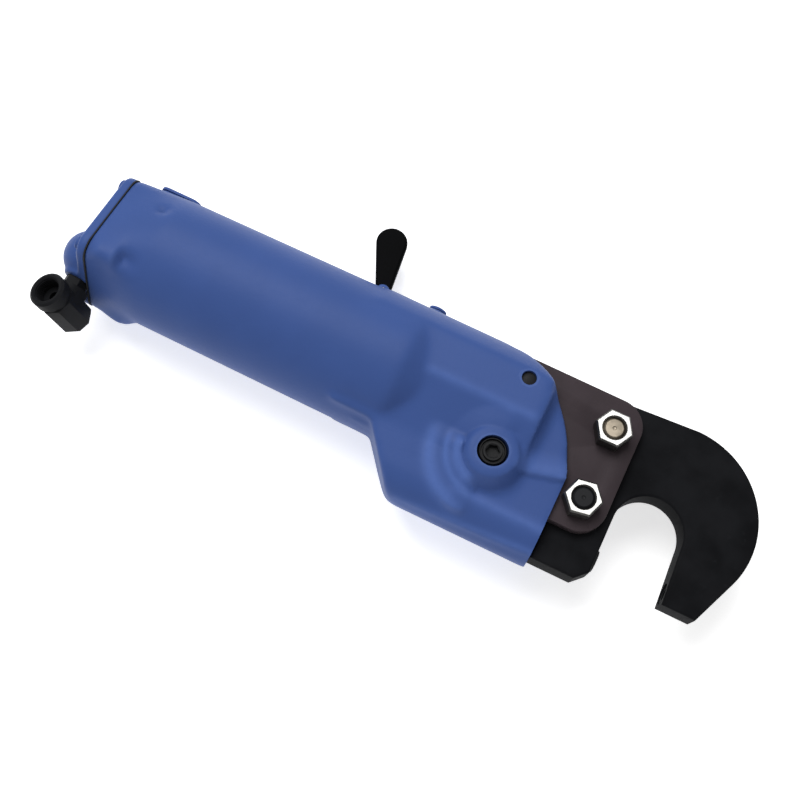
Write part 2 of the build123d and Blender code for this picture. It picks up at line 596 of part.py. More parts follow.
# Fixed pieces of the air cylinder
with BuildPart() as divider:
    ring(along_x(DIVIDER_X), BORE_R - RUN, ROD_R + SLIP, DIVIDER_T)
    ring_groove(along_x(DIVIDER_X + DIVIDER_T / 2 - SEAL_T / 2), BORE_R, BORE_R - SEAL_DEPTH, SEAL_T)
    bore(along_x(DIVIDER_X + DIVIDER_T / 2 - SEAL_T / 2), ROD_R + SEAL_DEPTH, SEAL_T)
save(divider, "divider")

with BuildPart() as divider_seals:
    ring(along_x(DIVIDER_X + DIVIDER_T / 2 - SEAL_T / 2), BORE_R - RUN / 2, BORE_R - SEAL_DEPTH, SEAL_T)
    ring(along_x(DIVIDER_X + DIVIDER_T / 2 - SEAL_T / 2), ROD_R + SEAL_DEPTH, ROD_R + RUN, SEAL_T)
save(divider_seals, "divider_seals")

with BuildPart() as divider_circlips:
    for clip_x in (DIVIDER_X - CIRCLIP_T, DIVIDER_X + DIVIDER_T):
        ring(along_x(clip_x), BORE_R + CIRCLIP_DEPTH, BORE_R - CIRCLIP_DEPTH, CIRCLIP_T)
    with BuildSketch(along_x(DIVIDER_X - CIRCLIP_T)):
        with Locations((BORE_R, 0)):
            Rectangle(4 * CIRCLIP_DEPTH, CIRCLIP_GAP)
    extrude(amount=DIVIDER_T + 2 * CIRCLIP_T, mode=Mode.SUBTRACT)
save(divider_circlips, "divider_circlips")

with BuildPart() as rod_bush:
    ring(along_x(HEAD_X), ROD_BUSH_R, ROD_R + RUN, HEAD_WALL)
save(rod_bush, "rod_bush")

with BuildPart() as return_spring:
    coil((FRONT_PISTON_X + PISTON_T + SPRING_WIRE / 2, 0, 0), SPRING_R, SPRING_WIRE,
         HEAD_X - FRONT_PISTON_X - PISTON_T, SPRING_TURNS)
save(return_spring, "return_spring")

# Moving pieces of the air cylinder
with BuildPart() as piston_rod:
    ring(along_x(ROD_NUT_X - 1), ROD_END_R, 0, REAR_PISTON_X + PISTON_T - ROD_NUT_X + 1)
    ring(along_x(REAR_PISTON_X + PISTON_T), ROD_R, 0, WEDGE_REAR_X - REAR_PISTON_X - PISTON_T)
    ring(along_x(WEDGE_REAR_X), ROD_END_R, 0, WEDGE_SOCKET)
    for clip_x in (FRONT_PISTON_X - CIRCLIP_T, FRONT_PISTON_X + PISTON_T):
        ring_groove(along_x(clip_x), ROD_R, ROD_R - CIRCLIP_DEPTH, CIRCLIP_T)
    bore(pin_plane((WEDGE_REAR_X + WEDGE_SOCKET / 2, 0), -ROD_R), WEDGE_PIN_R, 2 * ROD_R)
save(piston_rod, "piston_rod")

with BuildPart() as rod_nut:
    with BuildSketch(along_x(ROD_NUT_X)):
        RegularPolygon(ROD_NUT_AF / 2, 6, major_radius=False)
        Circle(ROD_END_R, mode=Mode.SUBTRACT)
    extrude(amount=ROD_NUT_T)
save(rod_nut, "rod_nut")

for name, piston_x, hole_r in (("rear_piston", REAR_PISTON_X, ROD_END_R),
                               ("front_piston", FRONT_PISTON_X, ROD_R)):
    with BuildPart() as piston:
        ring(along_x(piston_x), PISTON_R, hole_r, PISTON_T)
        ring_groove(along_x(piston_x + (PISTON_T - SEAL_T) / 2), PISTON_R, PISTON_R - SEAL_LIP, SEAL_T)
    save(piston, name)
    with BuildPart() as piston_cup:
        ring(along_x(piston_x + (PISTON_T - SEAL_T) / 2), BORE_R - RUN, PISTON_R - SEAL_LIP, SEAL_T)
    save(piston_cup, f"{name}_seal")

with BuildPart() as rod_circlips:
    for clip_x in (FRONT_PISTON_X - CIRCLIP_T, FRONT_PISTON_X + PISTON_T):
        ring(along_x(clip_x), ROD_R + 2 * CIRCLIP_DEPTH, ROD_R - CIRCLIP_DEPTH, CIRCLIP_T)
    with BuildSketch(along_x(FRONT_PISTON_X - CIRCLIP_T)):
        with Locations((ROD_R, 0)):
            Rectangle(6 * CIRCLIP_DEPTH, CIRCLIP_GAP)
    extrude(amount=PISTON_T + 2 * CIRCLIP_T, mode=Mode.SUBTRACT)
save(rod_circlips, "rod_circlips")

with BuildPart() as wedge:
    with BuildSketch(Plane.XY):
        with BuildLine():
            cam = Spline(*[cam_point(STROKE + WEDGE_TAIL - step * CAM_STEP) for step in range(CAM_POINTS)])
            Polyline(cam @ 1, (WEDGE_TIP_X, WEDGE_TOP_Y - WEDGE_LEAD),
                     (WEDGE_TIP_X - WEDGE_LEAD, WEDGE_TOP_Y), (WEDGE_REAR_X, WEDGE_TOP_Y), cam @ 0)
        make_face()
    extrude(amount=CRANK_HALF, both=True)
    bore(along_x(WEDGE_REAR_X), ROD_END_R, WEDGE_SOCKET)
    bore(pin_plane((WEDGE_REAR_X + WEDGE_SOCKET / 2, 0), -CRANK_HALF), WEDGE_PIN_R, 2 * CRANK_HALF)
save(wedge, "wedge")

with BuildPart() as wedge_pin:
    ring(pin_plane((WEDGE_REAR_X + WEDGE_SOCKET / 2, 0), -CRANK_HALF), WEDGE_PIN_R, 0, 2 * CRANK_HALF)
save(wedge_pin, "wedge_pin")

# Crank, rollers and their pins
with BuildPart() as crank:
    with BuildSketch(Plane.XY):
        with Locations(PIVOT):
            Circle(CRANK_HUB_R)
        with Locations(ROLLER_C):
            Circle(ROLLER_CHEEK_R)
        make_hull()
    extrude(amount=CRANK_HALF, both=True)
    with BuildSketch(Plane.XY):
        with Locations(((PIVOT[0] + TOE_X) / 2, (PIVOT[1] + RAM_Y) / 2)):
            SlotCenterToCenter(TOE_ARM, TOE_WAIST, rotation=90 - CRANK_TURN / 2)
        with Locations((TOE_X, RAM_Y)):
            Circle(TOE_R)
    extrude(amount=CRANK_HALF, both=True)
    with BuildSketch(Plane.XY):
        with Locations(ROLLER_C):
            Circle(ROLLER_R + 2 * SLIP)
    extrude(amount=ROLLER_HALF + SLIP, both=True, mode=Mode.SUBTRACT)
    bore(pin_plane(ROLLER_C, -CRANK_HALF), ROLLER_PIN_R, 2 * CRANK_HALF)
    bore(pin_plane(PIVOT, -CRANK_HALF), CRANK_BUSH_R, 2 * CRANK_HALF)
save(crank, "crank")

with BuildPart() as crank_bush:
    ring(pin_plane(PIVOT, -CRANK_HALF), CRANK_BUSH_R, PIVOT_R + RUN, 2 * CRANK_HALF)
save(crank_bush, "crank_bush")

with BuildPart() as roller_pin:
    ring(pin_plane(ROLLER_C, -CRANK_HALF), ROLLER_PIN_R, 0, 2 * CRANK_HALF)
save(roller_pin, "roller_pin")

with BuildPart() as cam_roller:
    ring(pin_plane(ROLLER_C, -ROLLER_HALF), ROLLER_R, ROLLER_PIN_R + RUN, 2 * ROLLER_HALF)
save(cam_roller, "cam_roller")

with BuildPart() as backup_roller:
    ring(pin_plane(BACKUP_PIN, -CRANK_HALF), BACKUP_R, BACKUP_PIN_R + RUN, 2 * CRANK_HALF)
save(backup_roller, "backup_roller")

with BuildPart() as backup_pin:
    ring(pin_plane(BACKUP_PIN, BACKUP_PIN_RECESS - SLAB_HALF), BACKUP_PIN_R, 0,
         2 * (SLAB_HALF - BACKUP_PIN_RECESS))
save(backup_pin, "backup_pin")

with BuildPart() as pivot_screw:
    ring(pin_plane(PIVOT, 2 * SLIP - PIVOT_BOSS_HALF), PIVOT_THREAD_R, 0, PIVOT_BOSS_HALF)
    ring(pin_plane(PIVOT, -PIVOT_SHOULDER), PIVOT_R, 0, PIVOT_SHOULDER + PIVOT_SEAT)
    ring(pin_plane(PIVOT, PIVOT_SEAT), PIVOT_HEAD_R, 0, PIVOT_HEAD_T)
    fillet(pivot_screw.edges().filter_by(GeomType.CIRCLE).sort_by(Axis.Z)[-1], SLIP * 2)
    with BuildSketch(pin_plane(PIVOT, PIVOT_SEAT + PIVOT_HEAD_T)):
        RegularPolygon(PIVOT_SOCKET_AF / 2, 6, major_radius=False)
    extrude(amount=-PIVOT_HEAD_T / 2, mode=Mode.SUBTRACT)
save(pivot_screw, "pivot_screw")

# Ram with its spring and bush
with BuildPart() as ram:
    ring(along_x(RAM_REAR_X, RAM_Y), RAM_FLANGE_R, 0, RAM_FLANGE_T)
    ring(along_x(RAM_REAR_X, RAM_Y), RAM_R, 0, RAM_FRONT_X - RAM_REAR_X)
    bore(along_x(RAM_FRONT_X - SET_HOLE_DEPTH, RAM_Y), SET_HOLE_R, SET_HOLE_DEPTH)
save(ram, "ram")

with BuildPart() as ram_spring:
    coil((RAM_REAR_X + RAM_FLANGE_T + RAM_WIRE / 2, RAM_Y, 0), RAM_SPRING_R, RAM_WIRE,
         RAM_BUSH_X - RAM_REAR_X - RAM_FLANGE_T, RAM_SPRING_TURNS)
save(ram_spring, "ram_spring")

with BuildPart() as ram_bush:
    ring(along_x(RAM_BUSH_X, RAM_Y), RAM_BUSH_R, RAM_R + RUN, RAM_BUSH_LENGTH)
save(ram_bush, "ram_bush")

# Side plates that carry the yoke
for name, plate_z in (("left_side_plate", PLATE_IN), ("right_side_plate", -PLATE_OUT)):
    with BuildPart() as side_plate:
        with BuildSketch(Plane.XY.offset(plate_z)) as plate_face:
            with BuildLine():
                Polyline((PLATE_REAR_X, PLATE_LOW_Y), (PLATE_FRONT_X, PLATE_LOW_Y),
                         (PLATE_FRONT_X, PLATE_TOP_Y), (PLATE_STEP_X, PLATE_TOP_Y),
                         (PLATE_STEP_X, PLATE_TOP_Y - PLATE_STEP),
                         (PLATE_REAR_X, PLATE_TOP_Y - PLATE_STEP), close=True)
            make_face()
            fillet(plate_face.vertices().group_by(Axis.X)[-1], PLATE_ROUND)
            with Locations(*[(BOLT_X, bolt_y) for bolt_y in BOLT_YS]):
                Circle(BOLT_R, mode=Mode.SUBTRACT)
            with Locations(PIVOT):
                Circle(PIVOT_R, mode=Mode.SUBTRACT)
            with Locations(BACKUP_PIN):
                Circle(BACKUP_PIN_R, mode=Mode.SUBTRACT)
        extrude(amount=PLATE_T)
    save(side_plate, name)

# C-yoke: jaw, throat and hooked tip in one forging
with BuildPart() as yoke:
    with BuildSketch(Plane.XY):
        with BuildLine():
            Polyline((JAW_X, THROAT_Y), (JAW_X, YOKE_LOW_Y + JAW_CHAMFER),
                     (JAW_X - JAW_CHAMFER, YOKE_LOW_Y), (YOKE_REAR_X, YOKE_LOW_Y),
                     (YOKE_REAR_X, YOKE_TOP_Y - YOKE_TOP_DROP), (YOKE_C[0], YOKE_TOP_Y))
            RadiusArc((YOKE_C[0], YOKE_TOP_Y), BACK_END, YOKE_R)
            Polyline(BACK_END, TIP_END, (TIP_X, TIP_LOW_Y), (THROAT_X + THROAT_R, THROAT_Y))
            ThreePointArc((THROAT_X + THROAT_R, THROAT_Y), (THROAT_X, THROAT_Y + THROAT_R),
                          (JAW_X, THROAT_Y))
        make_face()
    extrude(amount=PLATE_IN, both=True)
    fillet(yoke.faces().filter_by(Axis.Z).edges(), YOKE_ROUND)
    for bolt_y in BOLT_YS:
        bore(pin_plane((BOLT_X, bolt_y), -PLATE_IN), BOLT_R, 2 * PLATE_IN)
    bore(along_x(YOKE_REAR_X, RAM_Y), RAM_R + RUN, JAW_X - YOKE_REAR_X)
    bore(along_x(TIP_X - TIP_FLARE, RAM_Y), SET_SEAT_R, TIP_FLARE + SLIP)
    bore(along_x(TIP_X, RAM_Y), SET_HOLE_R, SET_HOLE_DEPTH + SLIP)
save(yoke, "yoke")

with BuildPart() as yoke_bolts:
    for bolt_y in BOLT_YS:
        ring(pin_plane((BOLT_X, bolt_y), -PLATE_OUT), BOLT_R, 0, 2 * PLATE_OUT + HEX_T)
    chamfer(yoke_bolts.edges().filter_by(GeomType.CIRCLE).group_by(Axis.Z)[-1], SLIP * 2)
    hexes(-PLATE_OUT - HEAD_T, HEAD_T)
save(yoke_bolts, "yoke_bolts")

with BuildPart() as yoke_nuts:
    hexes(PLATE_OUT, HEX_T)
    for bolt_y in BOLT_YS:
        bore(pin_plane((BOLT_X, bolt_y), PLATE_OUT), BOLT_R, HEX_T)
save(yoke_nuts, "yoke_nuts")

# Throttle lever, valve, spring and plug
with BuildPart() as throttle_lever:
    with BuildSketch(Plane.XY.offset(VALVE_Z)):
        with Locations((LEVER_X, LEVER_Y)):
            Circle(LEVER_NECK_R)
        with Locations(LEVER_BULB):
            Circle(LEVER_BULB_R)
        make_hull()
    extrude(amount=LEVER_T / 2, both=True)
    fillet(throttle_lever.faces().filter_by(Axis.Z).edges(), LEVER_ROUND)
    with BuildSketch(Plane.XY.offset(VALVE_Z)):
        with Locations((LEVER_X, (LEVER_Y + VALVE_Y) / 2)):
            SlotCenterToCenter(LEVER_RISE, 2 * LEVER_TOE_R, rotation=90)
    extrude(amount=LEVER_T / 2 - LEVER_ROUND / 2, both=True)
    bore(pin_plane((LEVER_X, LEVER_Y), VALVE_Z - LEVER_T), LEVER_PIN_R + RUN, 2 * LEVER_T)
save(throttle_lever, "throttle_lever")

with BuildPart() as lever_pin:
    ring(pin_plane((LEVER_X, LEVER_Y), VALVE_Z - LEVER_T), LEVER_PIN_R, 0, 2 * LEVER_T)
save(lever_pin, "lever_pin")

with BuildPart() as throttle_valve:
    ring(along_x(VALVE_REAR_X, VALVE_Y, VALVE_Z), VALVE_R, 0, VALVE_LENGTH)
    ring_groove(along_x(VALVE_SEAL_X, VALVE_Y, VALVE_Z), VALVE_R, VALVE_R - VALVE_SEAL_T, VALVE_SEAL_T)
    with BuildSketch(Plane.XY.offset(VALVE_Z)):
        with BuildLine():
            Polyline((LEVER_X + NOTCH_HALF, VALVE_Y - NOTCH_HALF), (LEVER_X + NOTCH_HALF, VALVE_Y + VALVE_R),
                     (LEVER_X - NOTCH_HALF - VALVE_NOTCH_FLARE, VALVE_Y + VALVE_R),
                     (LEVER_X - NOTCH_HALF, VALVE_Y), (LEVER_X - NOTCH_HALF, VALVE_Y - NOTCH_HALF),
                     close=True)
        make_face()
    extrude(amount=VALVE_R, both=True, mode=Mode.SUBTRACT)
save(throttle_valve, "throttle_valve")

with BuildPart() as valve_seal:
    ring(along_x(VALVE_SEAL_X, VALVE_Y, VALVE_Z), VALVE_R + RUN / 2, VALVE_R - VALVE_SEAL_T, VALVE_SEAL_T)
save(valve_seal, "valve_seal")

with BuildPart() as throttle_spring:
    coil((VALVE_FRONT_X + VALVE_WIRE / 2, VALVE_Y, VALVE_Z), VALVE_SPRING_R, VALVE_WIRE,
         SPRING_ROOM - PLUG_LENGTH, VALVE_SPRING_TURNS)
save(throttle_spring, "throttle_spring")

with BuildPart() as throttle_plug:
    ring(along_x(PLUG_X - PLUG_LENGTH, VALVE_Y, VALVE_Z), SPRING_ROOM_R, 0, PLUG_LENGTH)
    ring(along_x(PLUG_X, VALVE_Y, VALVE_Z), PLUG_HEAD_R, 0, PLUG_HEAD_T)
    with BuildSketch(along_x(PLUG_X + PLUG_HEAD_T, VALVE_Y, VALVE_Z)):
        Rectangle(3 * PLUG_HEAD_R, PLUG_SLOT)
    extrude(amount=-PLUG_HEAD_T / 2, mode=Mode.SUBTRACT)
save(throttle_plug, "throttle_plug")

# Air inlet: threaded stem with a hexagon, and the swivel that turns on its post
with BuildPart() as swivel_stem:
    ring(along_y(INLET_X, INLET_LOW_Y), STEM_R, 0, STEM_THREAD)
    with BuildSketch(along_y(INLET_X, INLET_LOW_Y - STEM_COLLAR_T)):
        RegularPolygon(STEM_COLLAR_AF / 2, 6, major_radius=False)
    extrude(amount=STEM_COLLAR_T)
    ring(along_y(INLET_X, POST_LOW_Y), STEM_POST_R, 0, INLET_LOW_Y - POST_LOW_Y)
    ring_groove(along_y(INLET_X, POST_CLIP_Y), STEM_POST_R, STEM_POST_R - CIRCLIP_DEPTH, POST_CLIP_T)
    bore(along_y(INLET_X, SWIVEL_Y - STEM_BORE_R), STEM_BORE_R,
         INLET_LOW_Y + STEM_THREAD - SWIVEL_Y + STEM_BORE_R)
    bore(swivel_plane(0), STEM_BORE_R, STEM_POST_R)
save(swivel_stem, "swivel_stem")

with BuildPart() as stem_clip:
    ring(along_y(INLET_X, POST_CLIP_Y), POST_CLIP_R, STEM_POST_R - CIRCLIP_DEPTH, POST_CLIP_T)
    with BuildSketch(along_y(INLET_X, POST_CLIP_Y)):
        with Locations((STEM_POST_R, 0)):
            Rectangle(4 * CIRCLIP_DEPTH, CIRCLIP_GAP)
    extrude(amount=POST_CLIP_T, mode=Mode.SUBTRACT)
save(stem_clip, "stem_clip")

with BuildPart() as swivel_body:
    ring(swivel_plane(SWIVEL_OPEN - SWIVEL_LENGTH), SWIVEL_R, 0, SWIVEL_LENGTH)
    fillet(swivel_body.edges().filter_by(GeomType.CIRCLE), SWIVEL_ROUND)
    ring(along_y(INLET_X, SWIVEL_Y), SWIVEL_NECK_R, 0, SWIVEL_TOP_Y - SWIVEL_Y)
    bore(swivel_plane(0), STEM_BORE_R, SWIVEL_OPEN)
    bore(swivel_plane(SWIVEL_OPEN - SWIVEL_PORT_DEPTH), SWIVEL_PORT_R, SWIVEL_PORT_DEPTH)
    bore(along_y(INLET_X, POST_LOW_Y - SLIP), STEM_POST_R + RUN, SWIVEL_TOP_Y - POST_LOW_Y + SLIP)
    bore(along_y(INLET_X, POST_CLIP_Y - SLIP / 2), POST_CLIP_R + SLIP / 2, POST_CLIP_T + SLIP)
save(swivel_body, "swivel_body")

# Exhaust cover with its screws, and the oil plug
with BuildPart() as exhaust_cover:
    with BuildSketch(along_y(PAD_X, PAD_Y)):
        RectangleRounded(PAD_LENGTH - PAD_EDGE, PAD_WIDTH - PAD_EDGE, PAD_ROUND)
        with Locations(*[(screw_x - PAD_X, 0) for screw_x in PAD_SCREW_XS]):
            Circle(PAD_SCREW_R, mode=Mode.SUBTRACT)
        with GridLocations(PAD_SLOT_PITCH, 0, PAD_SLOTS, 1):
            SlotOverall(2 * PAD_PORT_R, PAD_SLOT, rotation=90, mode=Mode.SUBTRACT)
    extrude(amount=PAD_COVER_T)
save(exhaust_cover, "exhaust_cover")

with BuildPart() as exhaust_screws:
    for screw_x in PAD_SCREW_XS:
        ring(along_y(screw_x, PAD_Y - PAD_SCREW_LENGTH + SLIP), PAD_SCREW_R, 0,
             PAD_SCREW_LENGTH - SLIP + PAD_COVER_T)
        ring(along_y(screw_x, PAD_Y + PAD_COVER_T), PAD_SCREW_HEAD_R, 0, PAD_SCREW_HEAD_T)
save(exhaust_screws, "exhaust_screws")

with BuildPart() as oil_plug:
    ring(along_y(OIL_X, OIL_Y - OIL_PLUG_LENGTH + SLIP), OIL_PLUG_R, 0, OIL_PLUG_LENGTH - SLIP)
    ring(along_y(OIL_X, OIL_Y), OIL_HEAD_R, 0, OIL_HEAD_T)
    with BuildSketch(along_y(OIL_X, OIL_Y + OIL_HEAD_T)):
        Rectangle(3 * OIL_HEAD_R, PLUG_SLOT)
    extrude(amount=-OIL_HEAD_T / 2, mode=Mode.SUBTRACT)
save(oil_plug, "oil_plug")
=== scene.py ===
"""Pneumatic rivet squeezer with a C-yoke: its looks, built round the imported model."""
import json
import math

import bmesh
import bpy
import numpy as np
from bpy.props import FloatProperty, FloatVectorProperty, IntProperty, PointerProperty
from mathutils import Matrix, Vector


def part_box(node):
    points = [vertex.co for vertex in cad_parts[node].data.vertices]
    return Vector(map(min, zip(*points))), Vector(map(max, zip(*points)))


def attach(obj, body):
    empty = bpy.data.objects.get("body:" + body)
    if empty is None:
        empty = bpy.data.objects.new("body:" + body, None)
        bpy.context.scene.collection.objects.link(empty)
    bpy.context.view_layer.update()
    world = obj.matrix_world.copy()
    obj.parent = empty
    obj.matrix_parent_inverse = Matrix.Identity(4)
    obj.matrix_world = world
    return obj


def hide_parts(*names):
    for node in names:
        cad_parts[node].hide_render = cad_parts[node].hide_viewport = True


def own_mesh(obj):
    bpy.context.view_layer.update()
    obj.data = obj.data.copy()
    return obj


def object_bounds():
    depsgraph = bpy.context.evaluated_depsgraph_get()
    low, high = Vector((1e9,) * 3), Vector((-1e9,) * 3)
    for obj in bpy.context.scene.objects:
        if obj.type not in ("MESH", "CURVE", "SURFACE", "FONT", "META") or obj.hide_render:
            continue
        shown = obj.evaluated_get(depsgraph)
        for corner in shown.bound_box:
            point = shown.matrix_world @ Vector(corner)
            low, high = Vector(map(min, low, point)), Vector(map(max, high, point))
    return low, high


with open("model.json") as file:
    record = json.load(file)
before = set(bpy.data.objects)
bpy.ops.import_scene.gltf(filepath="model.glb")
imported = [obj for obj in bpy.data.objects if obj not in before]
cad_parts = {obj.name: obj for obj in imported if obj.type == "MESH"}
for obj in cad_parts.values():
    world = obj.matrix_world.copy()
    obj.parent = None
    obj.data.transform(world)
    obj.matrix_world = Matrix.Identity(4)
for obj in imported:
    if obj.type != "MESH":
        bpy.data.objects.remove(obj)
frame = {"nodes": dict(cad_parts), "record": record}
CAD_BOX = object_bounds()

bl_info = {
    "name": "Rivet squeezer",
    "version": (1, 0, 0),
    "blender": (4, 5, 0),
    "location": "3D View > Sidebar > Squeezer",
    "description": "Cast housing, yoke, plates, fastenings and finishes of a pneumatic rivet squeezer",
    "category": "Object",
}

MM = 0.001

# Places on the tool in mm, as the solids have them. A place has the two axes that its hole doesn't run along.
AXIS = (0.0, 0.0)
REAR_X = -70.0
HEAD_JOINT_X = -70.5
HEAD_REAR_X = -75.0
FACE_X = 151.5
FLANGE_TURN = math.radians(-14.0)
FLANGE_DROP = -2.0
HEAD_PITCH = 35.0
PIVOT = (119.7, -20.6)
BACKUP = (120.4, 13.8)
RAM_Y = -38.47
VALVE = (27.2, -14.0)
LEVER = (44.0, 34.7)
OIL_PLUG = (71.5, 0.0)
BOLT_X = 160.9
BOLT_YS = (11.5, -21.1)
BOLTS_MIDDLE_Y = sum(BOLT_YS) / 2
PLATE_OUT = 12.5
YOKE_HALF = 7.1
PAD_X = -53.0
PAD_Y = 28.5
PAD_SCREWS_X = (-60.0, -46.0)

# Rooms and holes of the casting in mm, as the solids have them: a room's two corners in X and Y, and a
# hole's radius, start, end and sides.
WEDGE_ROOM = ((62.0, -26.0), (104.5, 7.5))
CHEEK_ROOM = ((103.75, -33.85), (109.0, 24.45))
PLATE_ROOM = ((108.75, -33.85), (165.0, 60.0))
CRANK_ROOM = ((108.2, -45.2), (131.2, -33.0))
BARREL_HOLES = (
    (20.0, -90.0, 49.0, 120), (21.0, -18.9, -17.7, 120), (21.0, -10.2, -9.0, 120), (9.05, 48.5, 62.5, 72))
RAM_HOLES = ((6.6, 114.9, 139.5), (7.0, 139.0, 165.0))
PIVOT_HOLES = ((4.0, -40.0, 0.0, 48), (4.75, -14.0, 30.0, 48), (6.6, 17.6, 40.0, 96))
BACKUP_HOLE = (3.2, -40.0, 40.0, 48)
VALVE_HOLES = ((3.65, 25.0, 56.0, 48), (4.4, 55.0, 72.0, 48), (5.65, 71.0, 90.0, 64))
EXHAUST_HOLE = (3.5, 10.0, 40.0, 32)
PAD_SCREW_HOLE = (1.4, 18.0, 40.0, 24)
OIL_HOLE = (3.0, 26.6, 45.0, 48)
LEVER_SLOT_X = (36.5, 49.5)
LEVER_SLOT_TOP_Y = 60.0
LEVER_SLOT_HALF = 2.75
LEVER_PIN_R = 1.5
LEVER_PIN_REACH = 12.0
SCREW_HOLE = (1.75, -90.0, -59.0, 32)

# Holes of the rear cover in the same way, and the seat of its screws' heads.
HEAD_SEAT_X = HEAD_REAR_X + 1.5
INLET_HOLE = (4.6, -40.0, -11.0, 48)
COVER_SCREW_HOLE = (1.75, -90.0, -60.0, 32)
COVER_SCREW_SINK = (3.4, -95.0, HEAD_SEAT_X, 48)

# Fillers in mm that close the rooms and holes while the cast skin is drawn, how far the flat ends are drawn
# out for it, and the boxes that trim them again. The holes are cut afresh afterwards.
PAST_FACE_X = FACE_X + 4.0
REAR_SPARE, FACE_SPARE, JOINT_SPARE = -0.9, 1.5, 0.8
REAR_TRIM = ((-90.0, -60.0), (REAR_X, 60.0), 60.0)
FACE_TRIM = ((FACE_X, -80.0), (175.0, 60.0), 60.0)
JOINT_TRIM = ((HEAD_JOINT_X, -60.0), (-50.0, 60.0), 60.0)
WEDGE_FILL = ((60.0, -30.0), (106.0, 12.0), 8.5)
CRANK_FILL = ((100.0, -46.0), (140.0, -20.0), 8.5)
PAD_FILL = ((PAD_X - 9.0, 20.0), (PAD_X + 9.0, PAD_Y + 0.2), 7.5)
PAD_TRIM = ((PAD_X - 10.0, PAD_Y), (PAD_X + 10.0, 40.0), 8.5)
PLATE_FILL_X, PLATE_FILL_HALF = 100.0, 13.0
PLATE_FILL_YS = (-45.0, -34.0)
FLANGE_FILL = (21.3, -70.9, -58.0)
BARREL_FILL = (21.8, -62.0, 72.0)
RAM_FILL = (12.0, 106.0, PAST_FACE_X)
PIVOT_FILL = (9.5, -24.0, 24.0)
BACKUP_FILL = (4.2, -25.7, 25.7)
VALVE_FILL = (5.9, 23.0, 71.0)
OIL_FILL = (4.6, 22.0, 32.4)
SCREW_FILL = (2.6, -70.9, -56.0, 32)
COVER_FILL = (18.0, -73.5, -69.8)
INLET_FILL = (5.6, -24.4, -4.0)
COVER_SCREW_FILL = (3.9, -74.6, -69.8, 32)

# Cast forms of the housing in mm: the nose's arc and flat top, the ears' arc round the lever pin, the
# front shoulder's outline, the pivot boss by radius and height, and the barrel's end by place and radius.
NOSE_ARC = ((103.0, 31.8), (136.0, 13.0), (FACE_X, -17.0))
NOSE_TOP_Y = 27.3
EAR_HALF = 3.4
EAR_RISE = (0.4, 3.45)
EAR_FOOT = (8.5, 25.0)
EAR_OUT = 4.9
SHOULDER = ((12.5, 25.9), (0.0, 25.7), (-17.5, 19.4), (-17.5, -19.4), (0.0, -25.7), (12.5, -25.9))
SHOULDER_X = (118.0, 132.6)
BOSS = ((10.4, -23.6), (14.6, -17.0), (14.6, 17.0), (10.4, 23.6))
BOSS_OUT = 24.0
BARREL_END = ((62.0, 28.0), (71.5, 30.2), (85.0, 22.8))
BARREL_END_POLES = (60.0, 86.0)

# Rounds of smoothing all over the casting before and after its main smoothing, and spots that the main
# smoothing spares: centre and radius in mm, and the share of smoothing left.
FIRST_ROUNDS = 5
LAST_ROUNDS = 2
CALM_SPOTS = (
    ((LEVER[0], LEVER[1], VALVE[1]), 11.0, 0.10),
    ((OIL_PLUG[0], 32.0, 0.0), 7.0, 0.20),
    ((PAD_X, 29.0, 0.0), 12.0, 0.20),
    ((143.0, -18.0, 17.0), 15.0, 0.40),
    ((143.0, -18.0, -17.0), 15.0, 0.40),
)

# Ends of the cover screws' lugs on the barrel in mm: where lug, scoop and foot rise and fall along X, how
# wide they are, how far a lug leans round the barrel from its screw, the radii and the end that the lugs
# keep to, and one more scoop beside the exhaust pad.
LUG_RISE, LUG_FALL, LUG_HALF = (REAR_X, -64.0), (-58.5, -55.5), 5.0
SCOOP_RISE, SCOOP_FALL, SCOOP_HALF = (-57.0, -54.0), (-54.0, -44.0), 4.2
FOOT_RISE, FOOT_FALL, FOOT_HALF = (-68.0, -55.0), (-52.0, -46.0), 6.0
LUG_LEAN = math.radians(4.5)
LUG_RADII = (24.0, 27.0)
LUG_END = (-46.0, -42.0)
PAD_SCOOP = (-50.9, 13.8, 26.2)
PAD_SCOOP_HALF = 2.8
PAD_SCOOP_SHARE = 0.8

# Cast forms of the gear end's cheeks in mm: the slope under the ridge, steps round the pivot from top to
# foot, the apron that fills in over the pivot, the keel's and the lip's lines as height and slope, and
# where ribs and lip rise and fall along X.
CHEEK_OUT = 25.7
CHEEK_SLOPE = 0.3575
CHEEK_FOOT_Y = -26.5
FOOT_SLOPE = 0.11
STEP_RAMPS = ((12.5, 16.5), (17.5, 20.5), (22.5, 29.0))
STEPS_WAY = math.radians(222.0)
STEPS_FAN = (0.60, 0.90)
STEPS_CLEAR = (9.5, 13.0)
APRON_FADE, APRON_FRONT, APRON_RISE, APRON_SHARE = (10.0, 21.0), (0.0, 8.0), (-6.0, 4.0), 0.9
TUBE_Y, TUBE_HALF, TUBE_RISE = RAM_Y - 1.6, 2.4, (108.0, 118.0)
KEEL, KEEL_HALF, KEEL_RISE = (-51.0, 0.055), 1.5, (86.0, 92.0)
LIP, LIP_EDGE, LIP_FADE, LIP_RISE = (-26.6, 0.265), (0.0, 1.8), (3.0, 13.0), (128.0, 136.0)
RIDGE_Y, RIDGE_HALF, RIDGE_RISE, RIDGE_FALL = -1.0, 2.2, (78.0, 84.0), (128.0, 133.0)

# Nuts and bolt heads: turn of the upper nut from the lower one, bright face as a share of the flats, and
# the nut's broken edge in mm; the bolt head's flat as a share of the flats, and its chamfer's slope.
UPPER_NUT_TURN = math.radians(-9.0)
NUT_FACE_SHARE = 0.91
NUT_EDGE = 0.8
HEAD_FLAT_SHARE = 0.475
HEAD_CHAMFER = 0.56

